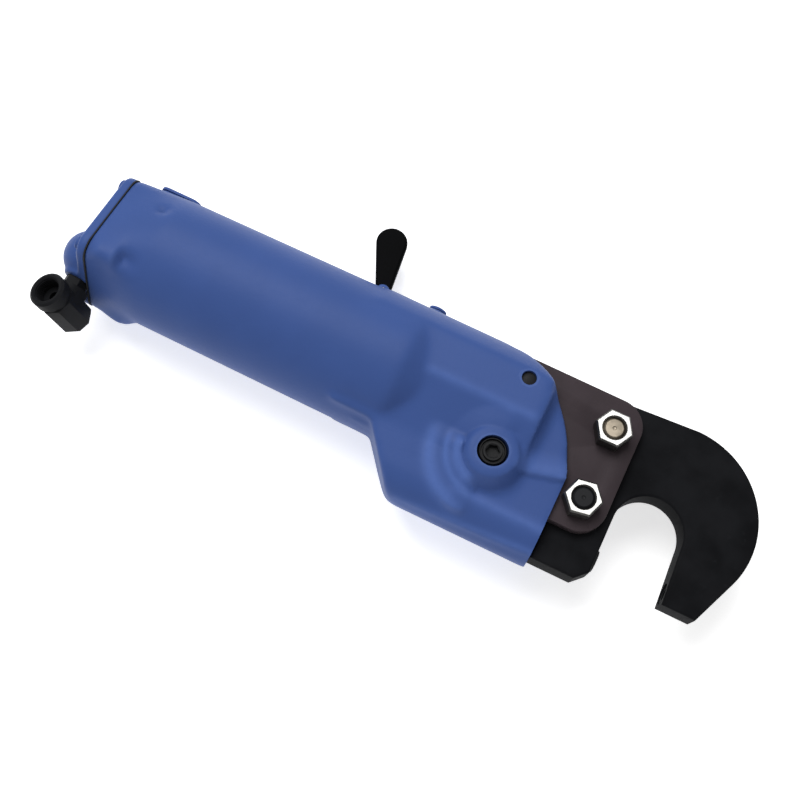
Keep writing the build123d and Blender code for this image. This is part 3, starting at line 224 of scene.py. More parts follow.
# Air swivel in mm: its middle, its top and both ends along its axis, and its holes and port thread.
SWIVEL_AT = (-76.0, -37.3, 0.0)
SWIVEL_POST = (SWIVEL_AT[0], SWIVEL_AT[2])
SWIVEL_TOP_Y = -28.35
SWIVEL_TURN = math.radians(20.0)
SWIVEL_R = 8.2
SWIVEL_OPEN = 14.0
SWIVEL_BACK = -13.0
SWIVEL_NECK_R = 7.15
PASSAGE_R = 2.4
PORT_R = 5.6
POST_HOLE_R = 4.25
POST_HOLE_DEPTH = 3.65
CLIP_GROOVE_R = 5.33
CLIP_GROOVE = (4.33, 2.87)
THREAD_R = 5.52
THREAD_HALF = 0.26
THREAD_PITCH = 0.95
THREAD_TURNS = 6

# Stage in metres: the tool's middle, each light's direction from it, distance and width, and the camera's
# place and axes as fitted to the photo.
STAGE_MIDDLE = (0.066, -0.010, 0.0)
KEY_LIGHT = ((-0.34, 0.32, 0.88), 1.60, 1.10)
FILL_LIGHT = ((0.45, -0.75, 0.50), 1.10, 0.80)
SKY_STRENGTH = 0.35
FLOOR_HALF = 3.0
FLOOR_GAP = 0.0005
CAMERA_AT = (0.124274, -0.161728, 0.510465)
CAMERA_RIGHT = (0.900408, 0.433232, 0.039697)
CAMERA_UP = (-0.424873, 0.856062, 0.294348)
CAMERA_BACK = (0.093538, -0.281899, 0.954874)
SENSOR_WIDTH = 36.0


# Settings

class CastingSettings(bpy.types.PropertyGroup):
    """Sizes of the cast housing and its cover."""
    grain: FloatProperty(
        name="Mesh grain", description="Edge length of the cast skin's mesh",
        default=0.9 * MM, min=0.5 * MM, max=3 * MM, unit="LENGTH")
    cover_grain: FloatProperty(
        name="Cover grain", description="Edge length of the cover's mesh",
        default=0.6 * MM, min=0.4 * MM, max=3 * MM, unit="LENGTH")
    softness: IntProperty(
        name="Softness", description="Rounds of smoothing that make the casting's corners flow",
        default=11, min=4, max=120)
    lug: FloatProperty(
        name="Lug", description="Height of the cover screws' lugs over the barrel",
        default=1.9 * MM, min=0.0, max=3 * MM, unit="LENGTH")
    scoop: FloatProperty(
        name="Lug scoop", description="Depth of the scoop at each lug's end",
        default=2.4 * MM, min=0.0, max=4 * MM, unit="LENGTH")
    step: FloatProperty(
        name="Cheek step", description="Height of each cast step round the pivot screw",
        default=1.7 * MM, min=0.0, max=3 * MM, unit="LENGTH")
    rib: FloatProperty(
        name="Cheek rib", description="Height of the ribs along the ram and the keel",
        default=0.7 * MM, min=0.0, max=2 * MM, unit="LENGTH")
    lip: FloatProperty(
        name="Nose lip", description="Height of the lip under the nose's side faces",
        default=1.5 * MM, min=0.0, max=3 * MM, unit="LENGTH")
    cover_softness: IntProperty(
        name="Cover softness", description="Rounds of smoothing on the cover's rear edge and inlet",
        default=14, min=4, max=120)


class EdgeSettings(bpy.types.PropertyGroup):
    """Broken edges of the machined pieces."""
    plate_edge: FloatProperty(
        name="Plate edge", description="Width of the broken edge on the side plates",
        default=0.55 * MM, min=0.0, max=2 * MM, unit="LENGTH")
    small_edge: FloatProperty(
        name="Small edge", description="Width of the broken edge on turned and milled pieces",
        default=0.22 * MM, min=0.0, max=1 * MM, unit="LENGTH")


class FasteningSettings(bpy.types.PropertyGroup):
    """Sizes of the nuts, bolts and screws."""
    nut_flats: FloatProperty(
        name="Nut flats", description="Nut's size across its flats", default=14.29 * MM, unit="LENGTH")
    nut_height: FloatProperty(
        name="Nut height", description="Nut's thickness", default=8.3 * MM, unit="LENGTH")
    nut_turn: FloatProperty(
        name="Nut turn", description="How far the nuts are turned from square",
        default=math.radians(10.0), subtype="ANGLE")
    bolt_radius: FloatProperty(
        name="Bolt radius", description="Radius of the yoke bolts", default=4.75 * MM, unit="LENGTH")
    head_height: FloatProperty(
        name="Bolt head height", description="Thickness of the bolt heads", default=6.4 * MM, unit="LENGTH")
    cap_radius: FloatProperty(
        name="Cover screw head", description="Head radius of the cover screws",
        default=3.1 * MM, unit="LENGTH")
    cap_height: FloatProperty(
        name="Cover screw head height", description="Head height of the cover screws",
        default=3.0 * MM, unit="LENGTH")


class FinishSettings(bpy.types.PropertyGroup):
    """Colours of the finishes."""
    paint: FloatVectorProperty(
        name="Paint", description="Blue of the housing", subtype="COLOR", size=3, min=0, max=1,
        default=(0.044, 0.086, 0.262))
    # Lighter blue: thinner paint with a painted highlight on cast edges, and the painted sheen on the steps
    # and ribs.
    paint_edge_and_sheen: FloatVectorProperty(
        name="Thin paint", description="Blue where the paint is thin", subtype="COLOR", size=3, min=0, max=1,
        default=(0.068, 0.120, 0.325))
    oxide: FloatVectorProperty(
        name="Black oxide", description="Black of the yoke, lever and swivel", subtype="COLOR", size=3,
        min=0, max=1, default=(0.0058, 0.0060, 0.0068))
    plate: FloatVectorProperty(
        name="Plate steel", description="Brown-black of the side plates", subtype="COLOR", size=3,
        min=0, max=1, default=(0.040, 0.031, 0.035))
    zinc: FloatVectorProperty(
        name="Zinc", description="Plating of the nuts", subtype="COLOR", size=3, min=0, max=1,
        default=(0.80, 0.79, 0.76))
    steel: FloatVectorProperty(
        name="Bare steel", description="Ground steel of the moving pieces", subtype="COLOR", size=3,
        min=0, max=1, default=(0.56, 0.545, 0.52))


class StageSettings(bpy.types.PropertyGroup):
    """Floor, light and camera."""
    floor: FloatVectorProperty(
        name="Floor", description="Colour of the floor", subtype="COLOR", size=3, min=0, max=1,
        default=(0.93, 0.93, 0.93))
    key: FloatProperty(
        name="Key light", description="Power of the large light overhead", default=23.0, min=0, unit="POWER")
    fill: FloatProperty(
        name="Fill light", description="Power of the light at the front", default=1.0, min=0, unit="POWER")
    lens: FloatProperty(
        name="Lens", description="Focal length of the camera in mm", default=56.02, min=10, max=300)


# Finishes

class Wire:
    """A shader value that can be used in plain sums."""

    def __init__(self, finish, socket):
        self.finish = finish
        self.socket = socket

    def _sum(self, operation, left, right):
        return self.finish.node("ShaderNodeMath", {"operation": operation}, {0: left, 1: right})

    def __add__(self, other):
        return self._sum("ADD", self, other)

    def __radd__(self, other):
        return self._sum("ADD", other, self)

    def __rsub__(self, other):
        return self._sum("SUBTRACT", other, self)

    def __mul__(self, other):
        return self._sum("MULTIPLY", self, other)

    def __rmul__(self, other):
        return self._sum("MULTIPLY", other, self)


class Finish:
    """A material that is built node by node."""

    def __init__(self, name):
        self.material = bpy.data.materials.new(name)
        self.material.use_nodes = True
        self.tree = self.material.node_tree
        self.shader = self.tree.nodes["Principled BSDF"]
        self.place = self.node("ShaderNodeTexCoord", output="Object")

    def node(self, kind, settings=None, sockets=None, output=0):
        """Adds a node: its settings first, then the values or links of its sockets."""
        made = self.tree.nodes.new(kind)
        for name, value in (settings or {}).items():
            setattr(made, name, value)
        for name, value in (sockets or {}).items():
            self.put(made.inputs[name], value)
        return Wire(self, made.outputs[output])

    def put(self, socket, value):
        """Links a wire to a socket, or sets its value."""
        if isinstance(value, Wire):
            self.tree.links.new(value.socket, socket)
        elif socket.type == "RGBA":
            socket.default_value = (*value, 1.0)
        else:
            socket.default_value = value

    def set(self, **values):
        """Sets the shader's own sockets: underscores stand for spaces."""
        for name, value in values.items():
            self.put(self.shader.inputs[name.replace("_", " ")], value)

    def noise(self, scale, detail=2.0, rough=0.5, stretch=(1.0, 1.0, 1.0)):
        """Cloudy pattern with about scale spots to the metre."""
        spread = self.place
        if stretch != (1.0, 1.0, 1.0):
            spread = self.node("ShaderNodeMapping", None, {"Vector": self.place, "Scale": stretch})
        return self.node("ShaderNodeTexNoise", None, {
            "Vector": spread, "Scale": scale, "Detail": detail, "Roughness": rough})

    def band(self, value, low, high):
        """Value between low and high as 0 to 1."""
        return self.node("ShaderNodeMapRange", {"clamp": True, "interpolation_type": "SMOOTHSTEP"}, {
            "Value": value, "From Min": low, "From Max": high})

    def blend(self, mask, first, second):
        """One colour over another by a mask."""
        return self.node("ShaderNodeMix", {"data_type": "RGBA"}, {0: mask, 6: first, 7: second}, output=2)

    def bump(self, height, distance, strength=1.0):
        """Relief of the surface in metres."""
        self.put(self.shader.inputs["Normal"], self.node("ShaderNodeBump", None, {
            "Strength": strength, "Distance": distance, "Height": height}))

    def layer(self, name):
        """A value that the mesh holds on its points."""
        return self.node("ShaderNodeAttribute", {"attribute_name": name}, output="Fac")


def shade(colour, factor):
    """A colour made lighter or darker."""
    return tuple(min(1.0, part * factor) for part in colour)


def paint_finish(colours, name="blue_paint", cast=True):
    """Sprayed blue enamel with clouds of dirt. On a cast skin the darkening is painted shade in its hollows
    instead, its edges get thinner paint with a painted highlight, and its steps and ribs a painted sheen.
    """
    coat = Finish(name)
    clouds = coat.band(coat.noise(38.0, 3.0), 0.35, 0.65)
    skin = coat.noise(620.0, 3.0, 0.55)
    peel = coat.noise(1900.0, 2.0, 0.5)
    dirt_and_hollow_shade = coat.band(coat.noise(180.0, 3.0), 0.55, 0.85) * 0.3
    base = coat.blend(clouds * 0.5, tuple(colours.paint), shade(colours.paint, 1.10))
    if cast:
        bend = coat.layer("bend")
        # Convex edges: thinner paint, and a painted highlight along them.
        edge = coat.band(bend, 0.54, 0.74)
        # Painted sheen on the cast steps round the pivot and along the ridge, lip, tube and keel.
        thin = coat.layer("thin") * (0.55 + 0.45 * coat.noise(260.0, 3.0))
        # Painted shade: the cast skin's hollows are darkened, broken up by noise.
        dirt_and_hollow_shade = coat.band(0.5 - bend, 0.03, 0.20) * coat.band(coat.noise(180.0, 3.0), 0.3, 0.7)
        base = coat.blend(edge * 0.55, base, tuple(colours.paint_edge_and_sheen))
        base = coat.blend(thin * 0.9, base, shade(colours.paint_edge_and_sheen, 1.35))
    # Darkens by the mask: random dirt on a plain skin, painted shade in a cast skin's hollows.
    base = coat.blend(dirt_and_hollow_shade * 0.45, base, shade(colours.paint, 0.35))
    coat.set(Base_Color=base, Roughness=0.38 + 0.14 * skin + 0.08 * dirt_and_hollow_shade, Specular_IOR_Level=0.10)
    coat.bump(skin * 0.8 + peel * 0.3, 0.00022, 0.35)
    return coat.material


def oxide_finish(colours, name="black_oxide", gloss=0.012, tone=1.15):
    """Black oxide on steel."""
    skin = Finish(name)
    clouds = skin.band(skin.noise(60.0, 4.0), 0.3, 0.7)
    grain = skin.noise(1500.0, 3.0, 0.6)
    rub = skin.band(skin.noise(260.0, 3.0, 0.6), 0.62, 0.78)
    base = skin.blend(clouds, shade(colours.oxide, tone), shade(colours.oxide, 1.7 * tone))
    base = skin.blend(rub * 0.35, base, shade(colours.oxide, 3.0 * tone))
    skin.set(Base_Color=base, Roughness=0.40 + 0.16 * grain + 0.06 * clouds, Metallic=0.0,
             Specular_IOR_Level=gloss)
    skin.bump(grain, 0.00008, 0.35)
    return skin.material


def plate_finish(colours):
    """Heat-browned plate with grinding lines across it."""
    skin = Finish("plate_steel")
    clouds = skin.band(skin.noise(42.0, 4.0), 0.32, 0.68)
    lines = skin.noise(2600.0, 3.0, 0.6, (1.0, 0.06, 1.0))
    spots = skin.band(skin.noise(420.0, 3.0, 0.6), 0.60, 0.78)
    base = skin.blend(clouds, tuple(colours.plate), shade(colours.plate, 1.35))
    base = skin.blend(spots * 0.25, base, shade(colours.plate, 0.6))
    skin.set(Base_Color=base, Roughness=0.42 + 0.14 * lines + 0.08 * clouds, Metallic=0.08,
             Specular_IOR_Level=0.06)
    skin.bump(lines, 0.00005, 0.35)
    return skin.material


def metal_finish(name, colour, rough, lines=(1.0, 1.0, 1.0), tint=0.8, relief=0.3):
    """Bare or plated metal with fine tool marks."""
    skin = Finish(name)
    clouds = skin.band(skin.noise(150.0, 3.0), 0.3, 0.7)
    marks = skin.noise(3200.0, 3.0, 0.6, lines)
    base = skin.blend(clouds, tuple(colour), shade(colour, tint))
    skin.set(Base_Color=base, Roughness=rough + 0.12 * marks + 0.05 * clouds, Metallic=1.0)
    skin.bump(marks, 0.00004, relief)
    return skin.material


def soft_finish(name, colour, rough, grain):
    """Rubber or paper with a fine grain."""
    skin = Finish(name)
    specks = skin.noise(grain, 4.0, 0.65)
    base = skin.blend(specks, shade(colour, 0.75), shade(colour, 1.25))
    skin.set(Base_Color=base, Roughness=rough + 0.15 * specks, Specular_IOR_Level=0.3)
    skin.bump(specks, 0.00008, 0.4)
    return skin.material


def floor_finish(colour):
    """Matt white paper sweep."""
    paper = Finish("floor_paper")
    fibre = paper.noise(30.0, 3.0)
    paper.set(Base_Color=paper.blend(fibre * 0.3, tuple(colour), shade(colour, 1.02)), Roughness=0.9,
              Specular_IOR_Level=0.0, Emission_Color=(1.0, 1.0, 1.0), Emission_Strength=0.60)
    return paper.material


def make_finishes(colours):
    """Every finish of the tool, by its coat's name."""
    return {
        "blue_paint": paint_finish(colours),
        "black_oxide": oxide_finish(colours),
        "plate_steel": plate_finish(colours),
        "zinc_steel": metal_finish("zinc_steel", colours.zinc, 0.28, tint=0.94, relief=0.02),
        # Darker zinc for the nuts' side faces: painted shade and dark reflection.
        "zinc_side": metal_finish("zinc_side", shade(colours.zinc, 0.16), 0.34, tint=0.7, relief=0.06),
        "bare_steel": metal_finish("bare_steel", colours.steel, 0.24, (1.0, 0.1, 1.0)),
        "bolt_steel": metal_finish("bolt_steel", (0.40, 0.345, 0.27), 0.40, tint=0.55),
        "screw_paint": paint_finish(colours, "screw_paint", False),
        "black_screw": oxide_finish(colours, "black_screw", 0.16, 1.2),
        "lever_black": oxide_finish(colours, "lever_black", 0.02, 0.3),
        "ram_black": oxide_finish(colours, "ram_black", 0.16, 2.0),
        "swivel_black": oxide_finish(colours, "swivel_black", 0.05, 1.35),
        "spring_steel": metal_finish("spring_steel", shade(colours.steel, 0.62), 0.28),
        "bronze": metal_finish("bronze", (0.56, 0.34, 0.13), 0.26),
        "piston_alloy": metal_finish("piston_alloy", (0.72, 0.73, 0.74), 0.30, (0.1, 1.0, 1.0)),
        "seal_rubber": soft_finish("seal_rubber", (0.012, 0.012, 0.013), 0.48, 1400.0),
        "gasket_paper": soft_finish("gasket_paper", (0.020, 0.021, 0.023), 0.75, 900.0),
    }


FINISHES = {}


def finish(coat):
    """The finish of a coat. All are made on first use."""
    if not FINISHES:
        FINISHES.update(make_finishes(bpy.context.scene.squeezer_finish))
    return FINISHES[coat]


# Shapes

def circle(centre, radius, sides=72):
    """Points round a centre in a plane."""
    angles = [math.tau * i / sides for i in range(sides)]
    return [(centre[0] + radius * math.cos(angle), centre[1] + radius * math.sin(angle)) for angle in angles]


def bar(axis, outline, start, end):
    """A closed bar along an axis, from an outline in the other two axes in order."""
    turns = {
        "X": lambda a, b, t: (t, a, b),
        "Y": lambda a, b, t: (a, t, b),
        "Z": lambda a, b, t: (a, b, t),
    }
    turn = turns[axis]
    made = bmesh.new()
    rings = [[made.verts.new(Vector(turn(a, b, t)) * MM) for a, b in outline] for t in (start, end)]
    for ring in rings:
        made.faces.new(ring)
    for i in range(len(outline)):
        j = (i + 1) % len(outline)
        made.faces.new((rings[0][i], rings[0][j], rings[1][j], rings[1][i]))
    bmesh.ops.recalc_face_normals(made, faces=made.faces)
    return made


def rod(axis, centre, radius, start, end, sides=72):
    """A closed round bar."""
    return bar(axis, circle(centre, radius, sides), start, end)


def block(low, high):
    """A closed box between two corners."""
    outline = [(low[0], low[1]), (high[0], low[1]), (high[0], high[1]), (low[0], high[1])]
    return bar("Z", outline, low[2], high[2])


def room(low, high, half):
    """A closed box between two corners in X and Y, as far to each side of the tool's middle plane."""
    return block((*low, -half), (*high, half))


def ringed(rings, closed=False):
    """A skin over rings of points. A ring of one point is a pole."""
    made = bmesh.new()
    rows = [[made.verts.new(Vector(point) * MM) for point in ring] for ring in rings]
    pairs = list(zip(rows, rows[1:]))
    if closed:
        pairs.append((rows[-1], rows[0]))
    for low, high in pairs:
        count = max(len(low), len(high))
        for i in range(count):
            j = (i + 1) % count
            corners = (low[i % len(low)], low[j % len(low)], high[j % len(high)], high[i % len(high)])
            made.faces.new(tuple(dict.fromkeys(corners)))
    bmesh.ops.recalc_face_normals(made, faces=made.faces)
    return made


def ring(radius, height, sides=96):
    """A level ring; radius and height may be functions of the angle."""
    points = []
    for i in range(sides):
        angle = math.tau * i / sides
        r = radius(angle) if callable(radius) else radius
        z = height(angle) if callable(height) else height
        points.append((r * math.cos(angle), r * math.sin(angle), z))
    return points


def turned_ring(x, radius, sides=96):
    """A ring round the barrel's axis."""
    return [(x, y, z) for y, z in circle((0.0, 0.0), radius, sides)]


def spun_ring(centre, radius, z, sides=96):
    """A level ring round a centre."""
    return [(x, y, z) for x, y in circle(centre, radius, sides)]


def hexagon(flats):
    """Radius of a hexagon as a function of the angle."""
    def radius(angle):
        part = (angle % (math.pi / 3)) - math.pi / 6
        return flats / 2 / math.cos(part)
    return radius


def joined(name, *shapes):
    """One mesh from several closed shapes."""
    mesh = bpy.data.meshes.new(name)
    whole = bmesh.new()
    for shape in shapes:
        if isinstance(shape, bpy.types.Mesh):
            whole.from_mesh(shape)
            continue
        part = bpy.data.meshes.new("part")
        shape.to_mesh(part)
        shape.free()
        whole.from_mesh(part)
        bpy.data.meshes.remove(part)
    whole.to_mesh(mesh)
    whole.free()
    return mesh


def merged(node):
    """A copy of a CAD node's mesh with its loose triangles joined."""
    mesh = frame["nodes"][node].data.copy()
    work = bmesh.new()
    work.from_mesh(mesh)
    bmesh.ops.remove_doubles(work, verts=work.verts, dist=1e-6)
    bare = bpy.data.meshes.new(node + "_copy")
    work.to_mesh(bare)
    work.free()
    bpy.data.meshes.remove(mesh)
    for name in [layer.name for layer in bare.attributes if layer.name == "custom_normal"]:
        bare.attributes.remove(bare.attributes[name])
    bare.materials.clear()
    return bare


def stretched_face(mesh, x, reach):
    """The flat end of a mesh at x, drawn out along X as a closed bar."""
    work = bmesh.new()
    work.from_mesh(mesh)
    others = [face for face in work.faces if any(abs(v.co.x - x * MM) > 2e-5 for v in face.verts)]
    bmesh.ops.delete(work, geom=others, context="FACES")
    drawn = bmesh.ops.extrude_face_region(work, geom=work.faces[:])
    for vert in (item for item in drawn["geom"] if isinstance(item, bmesh.types.BMVert)):
        vert.co.x += reach * MM
    bmesh.ops.recalc_face_normals(work, faces=work.faces)
    return work


def new_piece(name, mesh):
    """An object at the origin for a mesh."""
    mesh.name = name
    piece = bpy.data.objects.new(name, mesh)
    bpy.context.scene.collection.objects.link(piece)
    return piece


def settle(piece):
    """Turns a piece's modifiers into its mesh."""
    graph = bpy.context.evaluated_depsgraph_get()
    mesh = bpy.data.meshes.new_from_object(piece.evaluated_get(graph), depsgraph=graph)
    old = piece.data
    piece.modifiers.clear()
    piece.data = mesh
    bpy.data.meshes.remove(old)
    mesh.name = piece.name


def boolean(piece, shape, operation):
    """Cuts a closed shape out of a piece, or adds it."""
    tool = new_piece("cutter", joined("cutter", shape))
    change = piece.modifiers.new("cut", "BOOLEAN")
    change.operation = operation
    change.solver = "MANIFOLD"
    change.object = tool
    settle(piece)
    mesh = tool.data
    bpy.data.objects.remove(tool)
    bpy.data.meshes.remove(mesh)
    if len(piece.data.polygons) < 20:
        raise RuntimeError(f"{piece.name} was lost in a cut")


def cut(piece, *shapes):
    """Cuts closed shapes out of a piece, one after another."""
    for shape in shapes:
        boolean(piece, shape, "DIFFERENCE")


def weld(mesh):
    """Joins the points that cuts left on top of each other."""
    work = bmesh.new()
    work.from_mesh(mesh)
    bmesh.ops.remove_doubles(work, verts=work.verts, dist=2e-6)
    work.to_mesh(mesh)
    work.free()


def point_values(mesh, kind):
    """The places in metres ("co") or the normals ("normal") of a mesh's points, as an array."""
    values = np.empty(len(mesh.vertices) * 3, dtype=np.float32)
    mesh.vertices.foreach_get(kind, values)
    return values.reshape(-1, 3).astype(float)


def move_points(mesh, places):
    """Puts a mesh's points at new places."""
    mesh.vertices.foreach_set("co", places.astype(np.float32).ravel())
    mesh.update()


def neighbours(mesh):
    """A function that gives the mean of each point's neighbours for any value on the points."""
    ends = np.empty(len(mesh.edges) * 2, dtype=np.int32)
    mesh.edges.foreach_get("vertices", ends)
    ends = ends.reshape(-1, 2)
    both = np.concatenate((ends[:, 0], ends[:, 1]))
    other = np.concatenate((ends[:, 1], ends[:, 0]))
    count = len(mesh.vertices)
    degree = np.maximum(np.bincount(both, minlength=count), 1)

    def mean(values):
        return np.stack([
            np.bincount(both, weights=column[other], minlength=count) / degree for column in values.T
        ], axis=1)
    return mean


def smooth(mesh, rounds, calm=()):
    """Smooths a mesh. Calm spots, given as centre, radius and share, are smoothed less."""
    places = point_values(mesh, "co")
    mean = neighbours(mesh)
    share = np.ones(len(places))
    for centre, radius, least in calm:
        far = np.linalg.norm(places / MM - np.array(centre), axis=1)
        share = np.minimum(share, least + (1.0 - least) * ease(far, radius, 1.6 * radius))
    for _ in range(rounds):
        places += 0.5 * share[:, None] * (mean(places) - places)
    move_points(mesh, places)


def ease(value, start, end):
    """0 at start and 1 at end, with soft ends."""
    share = np.clip((value - start) / (end - start), 0.0, 1.0)
    return share * share * (3.0 - 2.0 * share)


def plateau(value, rise, fall):
    """1 between a soft rise and a soft fall, and 0 outside them."""
    return ease(value, *rise) * (1.0 - ease(value, *fall))


def rib(value, half):
    """A soft rib round zero."""
    return np.exp(-(value / half) ** 2)


def model_lugs(mesh, sizes):
    """Models the cover screws' lugs: a scooped end on each flank, and a foot clear of the swivel's turn."""
    places = point_values(mesh, "co")
    x, y, z = places.T / MM
    far = np.maximum(np.hypot(y, z), 1.0)
    rise = np.zeros(len(x))
    for spot_y, spot_z in flange_spots():
        off = np.arctan2(z, y) - math.atan2(spot_z, spot_y) + LUG_LEAN
        around = far * (np.mod(off + math.pi, math.tau) - math.pi)
        if abs(spot_z) > abs(spot_y):
            rise += sizes.lug * rib(around, LUG_HALF) * plateau(x, LUG_RISE, LUG_FALL)
            rise -= sizes.scoop * rib(around, SCOOP_HALF) * plateau(x, SCOOP_RISE, SCOOP_FALL)
        elif spot_y < 0.0:
            rise += sizes.lug * rib(around, FOOT_HALF) * plateau(x, FOOT_RISE, FOOT_FALL)
    beside = np.linalg.norm(places / MM - np.array(PAD_SCOOP), axis=1)
    rise -= PAD_SCOOP_SHARE * sizes.scoop * rib(beside, PAD_SCOOP_HALF)
    rise *= ease(far, *LUG_RADII) * (1.0 - ease(x, *LUG_END))
    places[:, 1:] += places[:, 1:] / far[:, None] / MM * rise[:, None]
    move_points(mesh, places)


def cheek_forms(places):
    """Shares of the gear end's cast forms at each point: steps, ribs, lip and the painted sheen."""
    x, y, _ = places.T / MM
    across, up = x - PIVOT[0], y - PIVOT[1]
    far = np.hypot(across, up)
    fan = ease(np.cos(np.arctan2(up, across) - STEPS_WAY), *STEPS_FAN)
    steps = sum(1.0 - ease(far, top, foot) for top, foot in STEP_RAMPS) * fan * ease(far, *STEPS_CLEAR)
    tube = rib(y - TUBE_Y, TUBE_HALF) * ease(x, *TUBE_RISE)
    keel = rib(y - KEEL[0] - KEEL[1] * across, KEEL_HALF) * ease(x, *KEEL_RISE)
    lip = plateau(y - LIP[0] - LIP[1] * across, LIP_EDGE, LIP_FADE) * ease(x, *LIP_RISE)
    ridge = rib(y - RIDGE_Y, RIDGE_HALF) * plateau(x, RIDGE_RISE, RIDGE_FALL)
    # Painted sheen: lighter paint on the step ramps where a light would catch them, and along the ridge, lip,
    # tube and keel.
    step_sheen = sum(rib(far - (top + foot) / 2, 0.45 * (foot - top)) for top, foot in STEP_RAMPS) * fan
    thin = step_sheen + 0.6 * (ridge + lip + tube + keel)
    return steps, tube + keel + 0.5 * ridge, lip, thin


def model_cheeks(mesh, sizes):
    """Models the cast steps round the pivot and the ribs and lip of both cheeks of the gear end."""
    places = point_values(mesh, "co")
    normals = point_values(mesh, "normal")
    steps, ribs, lip, _ = cheek_forms(places)
    around = places[:, :2] / MM - np.array(PIVOT)
    apron = (1.0 - ease(np.hypot(*around.T), *APRON_FADE)) * (1.0 - ease(around[:, 0], *APRON_FRONT))
    apron = apron * ease(around[:, 1], *APRON_RISE)
    y, out = places[:, 1] / MM, np.abs(places[:, 2])
    level = np.where(y > CHEEK_FOOT_Y, CHEEK_OUT + CHEEK_SLOPE * y,
                     CHEEK_OUT + CHEEK_SLOPE * CHEEK_FOOT_Y + FOOT_SLOPE * (y - CHEEK_FOOT_Y))
    short = np.maximum(level * MM + sizes.step * (steps + APRON_SHARE * apron) - out, 0.0)
    fill = short * ease(steps + apron, 0.0, 0.2) * ease(out / MM, 9.0, 11.0)
    height = (sizes.rib * ribs + sizes.lip * lip) * ease(np.abs(normals[:, 2]), 0.15, 0.6)
    places += normals * (height * ease(out / MM, 4.0, 9.0))[:, None]
    places[:, 2] += np.sign(places[:, 2]) * fill
    move_points(mesh, places)


def mark_skin(mesh):
    """Writes how edged each point is to the attribute "bend", and the painted sheen on the gear end's steps,
    ridge, lip, tube and keel to "thin".
    """
    places = point_values(mesh, "co")
    mean = neighbours(mesh)
    rise = np.sum((places - mean(places)) * point_values(mesh, "normal"), axis=1)[:, None] / (0.5 * MM)
    for _ in range(3):
        rise = 0.5 * rise + 0.5 * mean(rise)
    for name, values in (("bend", 0.5 + rise[:, 0]), ("thin", cheek_forms(places)[3])):
        layer = mesh.attributes.new(name, "FLOAT", "POINT")
        layer.data.foreach_set("value", np.clip(values, 0.0, 1.0).astype(np.float32))


def smooth_shade(mesh, degrees):
    """Smooth shading with sharp edges over an angle."""
    mesh.polygons.foreach_set("use_smooth", [True] * len(mesh.polygons))
    mesh.set_sharp_from_angle(angle=math.radians(degrees))


def dress(piece, coat, body, *nodes):
    """Gives a piece its finish, its body and the CAD nodes that it stands for."""
    piece.data.materials.clear()
    piece.data.materials.append(finish(coat))
    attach(piece, body)
    if nodes:
        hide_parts(*nodes)


def second_coat(piece, coat, chosen):
    """Gives the chosen faces of a dressed piece another finish."""
    piece.data.materials.append(finish(coat))
    for face in piece.data.polygons:
        face.material_index = 1 if chosen(face) else 0


BODY_OF = {}
SLOT_OF = {}


def read_record():
    """Notes the body and the slot of every CAD node."""
    for body, nodes in frame["record"]["behaviour"]["bodies"].items():
        for node in nodes:
            BODY_OF[node] = body
    for part in frame["record"]["subparts"]:
        SLOT_OF[part["node"]] = part["material_slot"]


def broken_edges(node, width, degrees=32.0, coat=None):
    """A CAD node as a piece with broken edges and smooth faces."""
    mesh = merged(node)
    piece = new_piece(node + "_piece", mesh)
    if width > 0:
        work = bmesh.new()
        work.from_mesh(mesh)
        bmesh.ops.dissolve_limit(work, angle_limit=math.radians(0.6), verts=work.verts, edges=work.edges)
        work.to_mesh(mesh)
        work.free()
        edge = piece.modifiers.new("edge", "BEVEL")
        edge.width = width
        edge.segments = 2
        edge.limit_method = "ANGLE"
        edge.angle_limit = math.radians(degrees)
        edge.use_clamp_overlap = True
        edge.harden_normals = False
        settle(piece)
    smooth_shade(piece.data, degrees)
    dress(piece, coat or SLOT_OF[node], BODY_OF[node], node)
    return piece


def shorten(spring, node, joint):
    """Works out how much of a coil spring's length stays as the piece behind it slides forward, and gives the
    spring its own mesh; the spring is not shortened.
    """
    low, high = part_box(node)
    slide = next(item for item in frame["record"]["behaviour"]["joints"] if item["name"] == joint)
    kept = 1.0 - slide["range_m"][1] / (high[0] - low[0])
    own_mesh(spring)


def arc_through(first, middle, last, steps):
    """Points on the arc through three points in a plane."""
    (ax, ay), (bx, by), (cx, cy) = first, middle, last
    d = 2 * (ax * (by - cy) + bx * (cy - ay) + cx * (ay - by))
    a2, b2, c2 = ax * ax + ay * ay, bx * bx + by * by, cx * cx + cy * cy
    ux = (a2 * (by - cy) + b2 * (cy - ay) + c2 * (ay - by)) / d
    uy = (a2 * (cx - bx) + b2 * (ax - cx) + c2 * (bx - ax)) / d
    radius = math.hypot(ax - ux, ay - uy)
    start = math.atan2(ay - uy, ax - ux)
    sweep = math.atan2(cy - uy, cx - ux) - start
    if sweep > math.pi:
        sweep -= math.tau
    if sweep < -math.pi:
        sweep += math.tau
    return [
        (ux + radius * math.cos(start + sweep * i / steps), uy + radius * math.sin(start + sweep * i / steps))
        for i in range(steps + 1)
    ]


def flange_spots():
    """Y and Z of the four cover screws."""
    spots = []
    for side in (-1, 1):
        for high in (-1, 1):
            a, b = side * HEAD_PITCH / 2, high * HEAD_PITCH / 2
            y = a * math.cos(FLANGE_TURN) - b * math.sin(FLANGE_TURN) + FLANGE_DROP
            z = a * math.sin(FLANGE_TURN) + b * math.cos(FLANGE_TURN)
            spots.append((y, z))
    return spots


